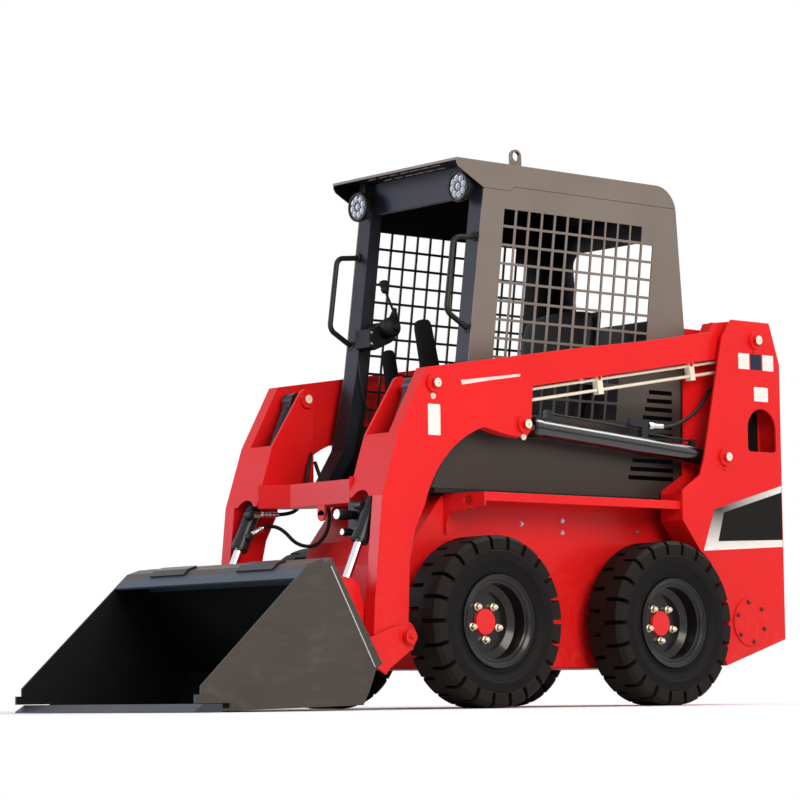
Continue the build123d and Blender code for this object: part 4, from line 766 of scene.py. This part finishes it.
def pin_ends():
    """A painted end with its grease nipple on each pin, and the keeper bolt below the boss."""
    head_back, washer_back, drop = 0.030, 0.0335, 0.049
    for name, x, z, y, body, radius in PINS:
        for side, hand in SIDES:
            out = (0, hand, 0)
            place = seat_on(at(x, hand * y, z), out)
            bm = bmesh.new()
            turned(bm, place, ((-0.001, radius), (0.0006, radius), (0.0018, radius - 0.0015)), 32)
            nipple = ((0.0015, 0.0042), (0.005, 0.0042), (0.0055, 0.0026), (0.0095, 0.0024),
                      (0.0105, 0.0033), (0.0125, 0.0030), (0.0135, 0.0012))
            turned(bm, place, nipple, 12)
            piece(f"pin_end_{name}_{side}", bm, body, CREAM)
            bm = bmesh.new()
            bolt(bm, at(x, hand * (y - head_back), z - drop), out, 0.013, 0.009)
            turned(bm, seat_on(at(x, hand * (y - washer_back), z - drop), out),
                   ((0, 0.0125), (0.0045, 0.0125), (0.0055, 0.0115)))
            piece(f"keeper_{name}_{side}", bm, body, CREAM if body == "boom" else RED)


def inner_pin_ends():
    """The cream inner end of each bucket-cylinder pin, seen between the arms."""
    for side, hand in SIDES:
        bm = bmesh.new()
        turned(bm, seat_on(at(0.732, hand * 0.271, 1.236), (0, -hand, 0)),
               ((-0.002, 0.0175), (0.0006, 0.0175), (0.0022, 0.0155)), 32)
        piece(f"pin_inner_end_{side}", bm, "boom", CREAM)


def pipe_front_runs():
    """The upper boom pipe's last stretch, from its union to the lobe that holds the lift rod's pin."""
    for side, hand in SIDES:
        rear, front = at(-0.080, hand * PIPE_LINE, 1.2922), at(0.213, hand * PIPE_LINE, 1.2434)
        run = front - rear
        bm = bmesh.new()
        turned(bm, seat_on(rear, run), ((0, 0.0065), (run.length, 0.0065)), 20)
        turned(bm, seat_on(rear, run), ((-0.012, 0.0085), (0.010, 0.0085)), 6)
        piece(f"boom_pipe_front_{side}", bm, "boom", CREAM)


# ================================================================ seals, welds and bolts
def access_shade_sheets():
    """A black sheet behind the access hole in each tower: painted shade that stands for the dark inside the
    tower.
    """
    rear, front, foot, head, thick = -1.156, -0.950, 1.020, 1.250, 0.003
    for side, hand in SIDES:
        near = hand * 0.4088 + (0 if hand > 0 else thick)
        bm = bmesh.new()
        # painted shade: a black sheet where the inside of the tower is only in shadow
        slab(bm, lengthwise(near), ((rear, foot), (front, foot), (front, head), (rear, head)), thick)
        piece(f"access_shade_sheet_{side}", bm, "frame", FOAM)


def roof_seals():
    """Black rubber that closes the joint between the roof's skirt and the panels below it."""
    joint_z, visor_z, inner_y, thick = 2.061, 2.043, 0.381, 0.003
    over, under = 0.012, 0.010
    outline = ((-0.700, joint_z - under), (0.196, joint_z - under), (0.218, visor_z - under),
               (0.360, visor_z - under), (0.360, visor_z + over), (0.228, visor_z + over),
               (0.206, joint_z + over), (-0.700, joint_z + over))
    bm = bmesh.new()
    for hand in (1, -1):
        near = hand * inner_y + (0 if hand > 0 else thick)
        slab(bm, lengthwise(near), outline, thick)
    rear = ((-inner_y, joint_z - under), (inner_y, joint_z - under), (inner_y, joint_z + over),
            (-inner_y, joint_z + over))
    slab(bm, crosswise(-0.7065), rear, thick)
    piece("roof_seals", bm, "frame", FOAM, 0.001)


def side_plate_welds():
    """The bright ground weld that joins each side plate of the bucket to its back wall."""
    beads, rest_radius, ripple = 46, 0.0024, 0.0006
    low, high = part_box("bucket_shell")
    half_w = (high.y - low.y) / 2
    for side, hand in SIDES:
        top, foot = at(1.309, hand * half_w, 0.524), at(1.105, hand * half_w, 0.157)
        profile = [(k / beads, rest_radius + ripple * (k % 2)) for k in range(beads + 1)]
        bm = bmesh.new()
        spindle(bm, top, foot, profile, 10)
        piece(f"side_plate_weld_{side}", bm, "tool", SILVER)


def wall_bolts():
    """Bolts on the side walls, round the chain-case covers and on the bucket's pivot pins."""
    cover, cover_face, bolt_circle = at(-0.964, 0, 0.339), 0.528, 0.083
    for side, hand in SIDES:
        out = (0, hand, 0)
        bm = bmesh.new()
        for x, z in ((0.139, 0.723), (-0.085, 0.742), (-0.084, 0.694), (-0.509, 0.707)):
            bolt(bm, at(x, hand * 0.327, z), out, 0.013, 0.009)
        piece(f"wall_bolts_{side}", bm, "frame", SILVER)
        bm = bmesh.new()
        for u, v in around(6, bolt_circle, radians(20)):
            bolt(bm, cover + Vector((u, hand * cover_face, v)), out, 0.014, 0.010)
        piece(f"cover_bolts_{side}", bm, "frame", OVERSPRAYED)
        bm = bmesh.new()
        bolt(bm, at(0.887, hand * 0.529, 0.270), out, 0.017, 0.010)
        piece(f"pivot_bolt_{side}", bm, "tool", RED)


# ================================================================ films and the painted arm highlight
def film(name, corners, y, coat, body):
    """A flat sheet with these (x, z) corners on a face that looks left: a blank adhesive film, and on the
    left arm a painted highlight.
    """
    lift, thick = 0.0001, 0.0005
    bm = bmesh.new()
    slab(bm, lengthwise(y + lift + thick), corners, thick)
    piece(name, bm, body, coat)


def label(x0, z0, x1, z1, radius=0.004):
    """The (x, z) outline of a rectangle with rounded corners."""
    points = []
    for cx, cz, start_angle in ((x1 - radius, z1 - radius, 0), (x0 + radius, z1 - radius, 90),
                                (x0 + radius, z0 + radius, 180), (x1 - radius, z0 + radius, 270)):
        for step in range(5):
            angle = radians(start_angle + 22.5 * step)
            points.append((cx + radius * cos(angle), cz + radius * sin(angle)))
    return points


def films():
    """Blank plates, three plain squares, the black stripe in its silver border and a painted highlight along
    the left arm.
    """
    film("plate_arm", label(0.697, 1.037, 0.759, 1.156), ARM_FACE, WHITE, "boom")
    film("plate_tower", label(-1.104, 1.261, -1.019, 1.321), TOWER_FACE, WHITE, "frame")
    square, spacing = 0.066, 0.0735
    for number, coat in enumerate((WHITE, NAVY, WHITE)):
        x = -0.928 - spacing * number
        film(f"square_{number + 1}", label(x - square, 1.393, x, 1.459, 0.002), TOWER_FACE, coat, "frame")
    border = ((-0.766, 0.800), (-1.174, 0.911), (-1.174, 0.655), (-0.698, 0.628))
    film("stripe_border", border, TOWER_FACE, FADE, "frame")
    field = ((-0.821, 0.789), (-1.1735, 0.884), (-1.1735, 0.684), (-0.785, 0.669))
    film("stripe_field", field, TOWER_FACE + 0.0005, FIELD, "frame")
    # painted highlight: a pale pink sheet along the left arm, which stands for light on a rib of the arm
    line = ((0.590, 1.2560), (0.280, 1.2990), (0.280, 1.2890), (0.440, 1.2640), (0.584, 1.2385))
    film("arm_highlight", line, ARM_FACE, ARM_HIGHLIGHT, "boom")


# ================================================================ cross member
def couplers():
    """The two auxiliary couplers under the cross member, on their bracket, and the lug in the middle."""
    bracket_front, across = 0.930, 0.250
    bodies, caps = bmesh.new(), bmesh.new()
    outline = ((0.215, 0.650), (0.284, 0.650), (0.284, 0.789), (0.215, 0.789))
    slab(bodies, crosswise(0.925), outline, 0.008)
    for z, length, radius, cap in ((0.738, 0.086, 0.0215, 0.0195), (0.672, 0.060, 0.0150, 0.0130)):
        turned(bodies, seat_on(at(bracket_front, across, z), (1, 0, 0)),
               ((0, radius * 0.8), (length * 0.35, radius * 0.8), (length * 0.4, radius),
                (length * 0.9, radius), (length, radius * 0.9)))
        turned(caps, seat_on(at(bracket_front + length, across, z), (1, 0, 0)),
               ((-0.001, cap), (0.003, cap), (0.004, cap * 0.85), (0.0025, cap * 0.8),
                (0.0025, cap * 0.3), (0.004, cap * 0.25)))
    piece("couplers", bodies, "boom", BLACK, 0.001)
    piece("coupler_caps", caps, "boom", SILVER)
    lug_x, lug_y, lug_z, half_w = 0.893, 0.012, 0.750, 0.022
    bm = bmesh.new()
    turned(bm, seat_on(at(lug_x, lug_y, lug_z), (1, 0, 0)), ((0, half_w), (0.010, half_w)), 28)
    slab(bm, crosswise(lug_x, lug_y),
         ((-half_w, lug_z), (half_w, lug_z), (half_w, 0.7895), (-half_w, 0.7895)), 0.010)
    piece("cross_lug", bm, "boom", RED, 0.001)


# ================================================================ levers, lamps, seat and small fittings
def levers():
    """The two drive levers with their foam grips, rubber boots and steel stems."""
    floor_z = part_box("cab_floor")[1][2]
    # floor place, foot of the grip, top of the grip, grip radius at its foot and head
    table = (
        ("left", (0.300, 0.100), (0.398, 0.100, 1.290), (0.452, 0.100, 1.541), 0.041, 0.036),
        ("right", (0.290, -0.150), (0.380, -0.150, 1.200), (0.418, -0.150, 1.444), 0.033, 0.028),
    )
    into_boot, into_grip, stem_radius = 0.02, 0.03, 0.011
    for side, (x, y), foot, head, r_foot, r_head in table:
        stem = bmesh.new()
        spindle(stem, at(x, y, floor_z + into_boot), at(*foot) + Vector((0, 0, into_grip)),
                ((0, stem_radius), (1, stem_radius)))
        boot = [(0.000, 0.050), (0.006, 0.050)]
        for fold in range(5):
            up, inward = fold * 0.012, fold * 0.005
            boot += [(0.010 + up, 0.040 - inward), (0.016 + up, 0.044 - inward)]
        boot.append((0.075, 0.014))
        turned(stem, Matrix.Translation(at(x, y, floor_z)), boot, 28)
        made = piece(f"lever_{side}", stem, "frame", BLACK)
        if side == "left":
            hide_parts("control_levers")
        grip = bmesh.new()
        shape = ((0, r_foot * 0.7), (0.012, r_foot * 0.94), (0.035, r_foot), (0.45, (r_foot + r_head) / 2),
                 (0.86, r_head), (0.93, r_head * 0.93), (0.975, r_head * 0.75), (0.995, r_head * 0.42),
                 (1.0, r_head * 0.12))
        spindle(grip, at(*foot), at(*head), shape, 32)
        piece(f"grip_{side}", grip, "frame", FOAM)


def lamp_optics():
    """Nine diodes in bright cups behind a plain bezel, in each round work lamp."""
    low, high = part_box("lamp_lenses")
    reach = (high.z - low.z) / 2
    plate = 0.002
    cup = ((0, 0.0125), (0.0035, 0.0125), (0.0035, 0.0112), (0.0012, 0.0060), (0.0024, 0.0042),
           (0.0030, 0.0016))
    bezel = ((-0.002, reach + 0.0055), (0.0075, reach + 0.0055), (0.0085, reach + 0.0035),
             (0.0075, reach - 0.001), (0.003, reach - 0.002))
    for side, hand in SIDES:
        place = seat_on(Vector((low.x, hand * (high.y - reach), (low.z + high.z) / 2)), (1, 0, 0))
        bm = bmesh.new()
        turned(bm, place, ((0, reach), (plate, reach)), 48)
        piece(f"lamp_plate_{side}", bm, "frame", LAMP_DARK)
        bm = bmesh.new()
        for u, v in [(0, 0)] + around(8, 0.0335, 0.2):
            turned(bm, place @ Matrix.Translation((u, v, plate)), cup, 18)
        made = piece(f"lamp_cups_{side}", bm, "frame", LAMP_CUP)
        if side == "left":
            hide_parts("lamp_lenses")
        bm = bmesh.new()
        turned(bm, place, bezel, 48, hollow=True)
        piece(f"lamp_bezel_{side}", bm, "frame", BLACK)


def cushion(name, place, width, length, thick):
    """A stuffed pad: crowned above, pulled in between its corners and thin along its edge."""
    steps, corner_pull, side_pull, crown_share, underside = 40, 0.10, 0.025, 0.20, 0.9
    bm = bmesh.new()
    for top in (1, -1):
        layer = []
        for i in range(steps + 1):
            u = 2 * i / steps - 1
            row = []
            for j in range(steps + 1):
                v = 2 * j / steps - 1
                square = 1 - corner_pull * (u * u * v * v)
                edge = max(0.0, (1 - abs(u) ** 5) * (1 - abs(v) ** 5)) ** 0.42
                crown = 1 - crown_share + crown_share * (1 - u * u) * (1 - v * v)
                rise = edge * (crown if top > 0 else underside)
                x = u * square * (1 - side_pull * (1 - v * v)) * width / 2
                y = v * square * (1 - side_pull * (1 - u * u)) * length / 2
                row.append(bm.verts.new(place @ Vector((x, y, top * rise * thick / 2))))
            layer.append(row)
        for i in range(steps):
            for j in range(steps):
                corners = (layer[i][j], layer[i + 1][j], layer[i + 1][j + 1], layer[i][j + 1])
                bm.faces.new(corners if top > 0 else reversed(corners))
    bmesh.ops.remove_doubles(bm, verts=bm.verts, dist=0.0004)
    made = piece(name, bm, "frame", VINYL)
    return made


def seat():
    """The seat's cushion and back, both stuffed, which stand for its plain solid."""
    level = Matrix.Rotation(radians(-3), 4, "Y")
    made = cushion("seat_cushion", Matrix.Translation(at(-0.095, 0, 1.129)) @ level, 0.425, 0.452, 0.094)
    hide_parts("seat")
    lean = Matrix.Rotation(radians(-101), 4, "Y") @ Matrix.Rotation(radians(180), 4, "X")
    cushion("seat_back", Matrix.Translation(at(-0.353, 0, 1.375)) @ lean, 0.560, 0.420, 0.105)


def rail_feet():
    """The pads that the handrails are welded to."""
    pad = ((0, 0.019), (0.006, 0.019), (0.008, 0.016))
    for side, hand in SIDES:
        bm = bmesh.new()
        for x, z, rise in ((0.394, 1.848, 0.1), (0.436, 1.478, 0.12)):
            turned(bm, seat_on(at(x, hand * 0.361, z), (1, 0, rise)), pad)
        piece(f"rail_feet_{side}", bm, "frame", BLACK)


def clamp_bolts():
    """The red bolt over each pipe clamp, under the boom."""
    for side, hand in SIDES:
        bm = bmesh.new()
        for x, z in ((-0.694, 1.3985), (-0.165, 1.3105)):
            bolt(bm, at(x, hand * 0.4735, z), (0, hand, 0), 0.012, 0.007)
        piece(f"clamp_bolts_{side}", bm, "boom", RED)


def latch():
    """The paddle latch on the rear door."""
    half_w, half_h = 0.012, 0.034
    place = seat_on(Vector((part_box("rear_door")[0].x, -0.27, 0.98)), (-1, 0, 0))
    bm = bmesh.new()
    turned(bm, place, ((0, 0.045), (0.006, 0.045), (0.009, 0.041)), 32)
    slab(bm, place @ Matrix.Translation((0, 0, 0.008)),
         ((-half_w, -half_h), (half_w, -half_h), (half_w, half_h), (-half_w, half_h)), 0.012)
    piece("door_latch", bm, "rear_door", BLACK, 0.002)


place_camera()
light_studio()
lay_floor()
lift_hoses()
tilt_hoses()
joystick()
wheel_nuts()
pin_ends()
inner_pin_ends()
pipe_front_runs()
access_shade_sheets()
roof_seals()
side_plate_welds()
wall_bolts()
films()
couplers()
levers()
lamp_optics()
seat()
rail_feet()
clamp_bolts()
latch()
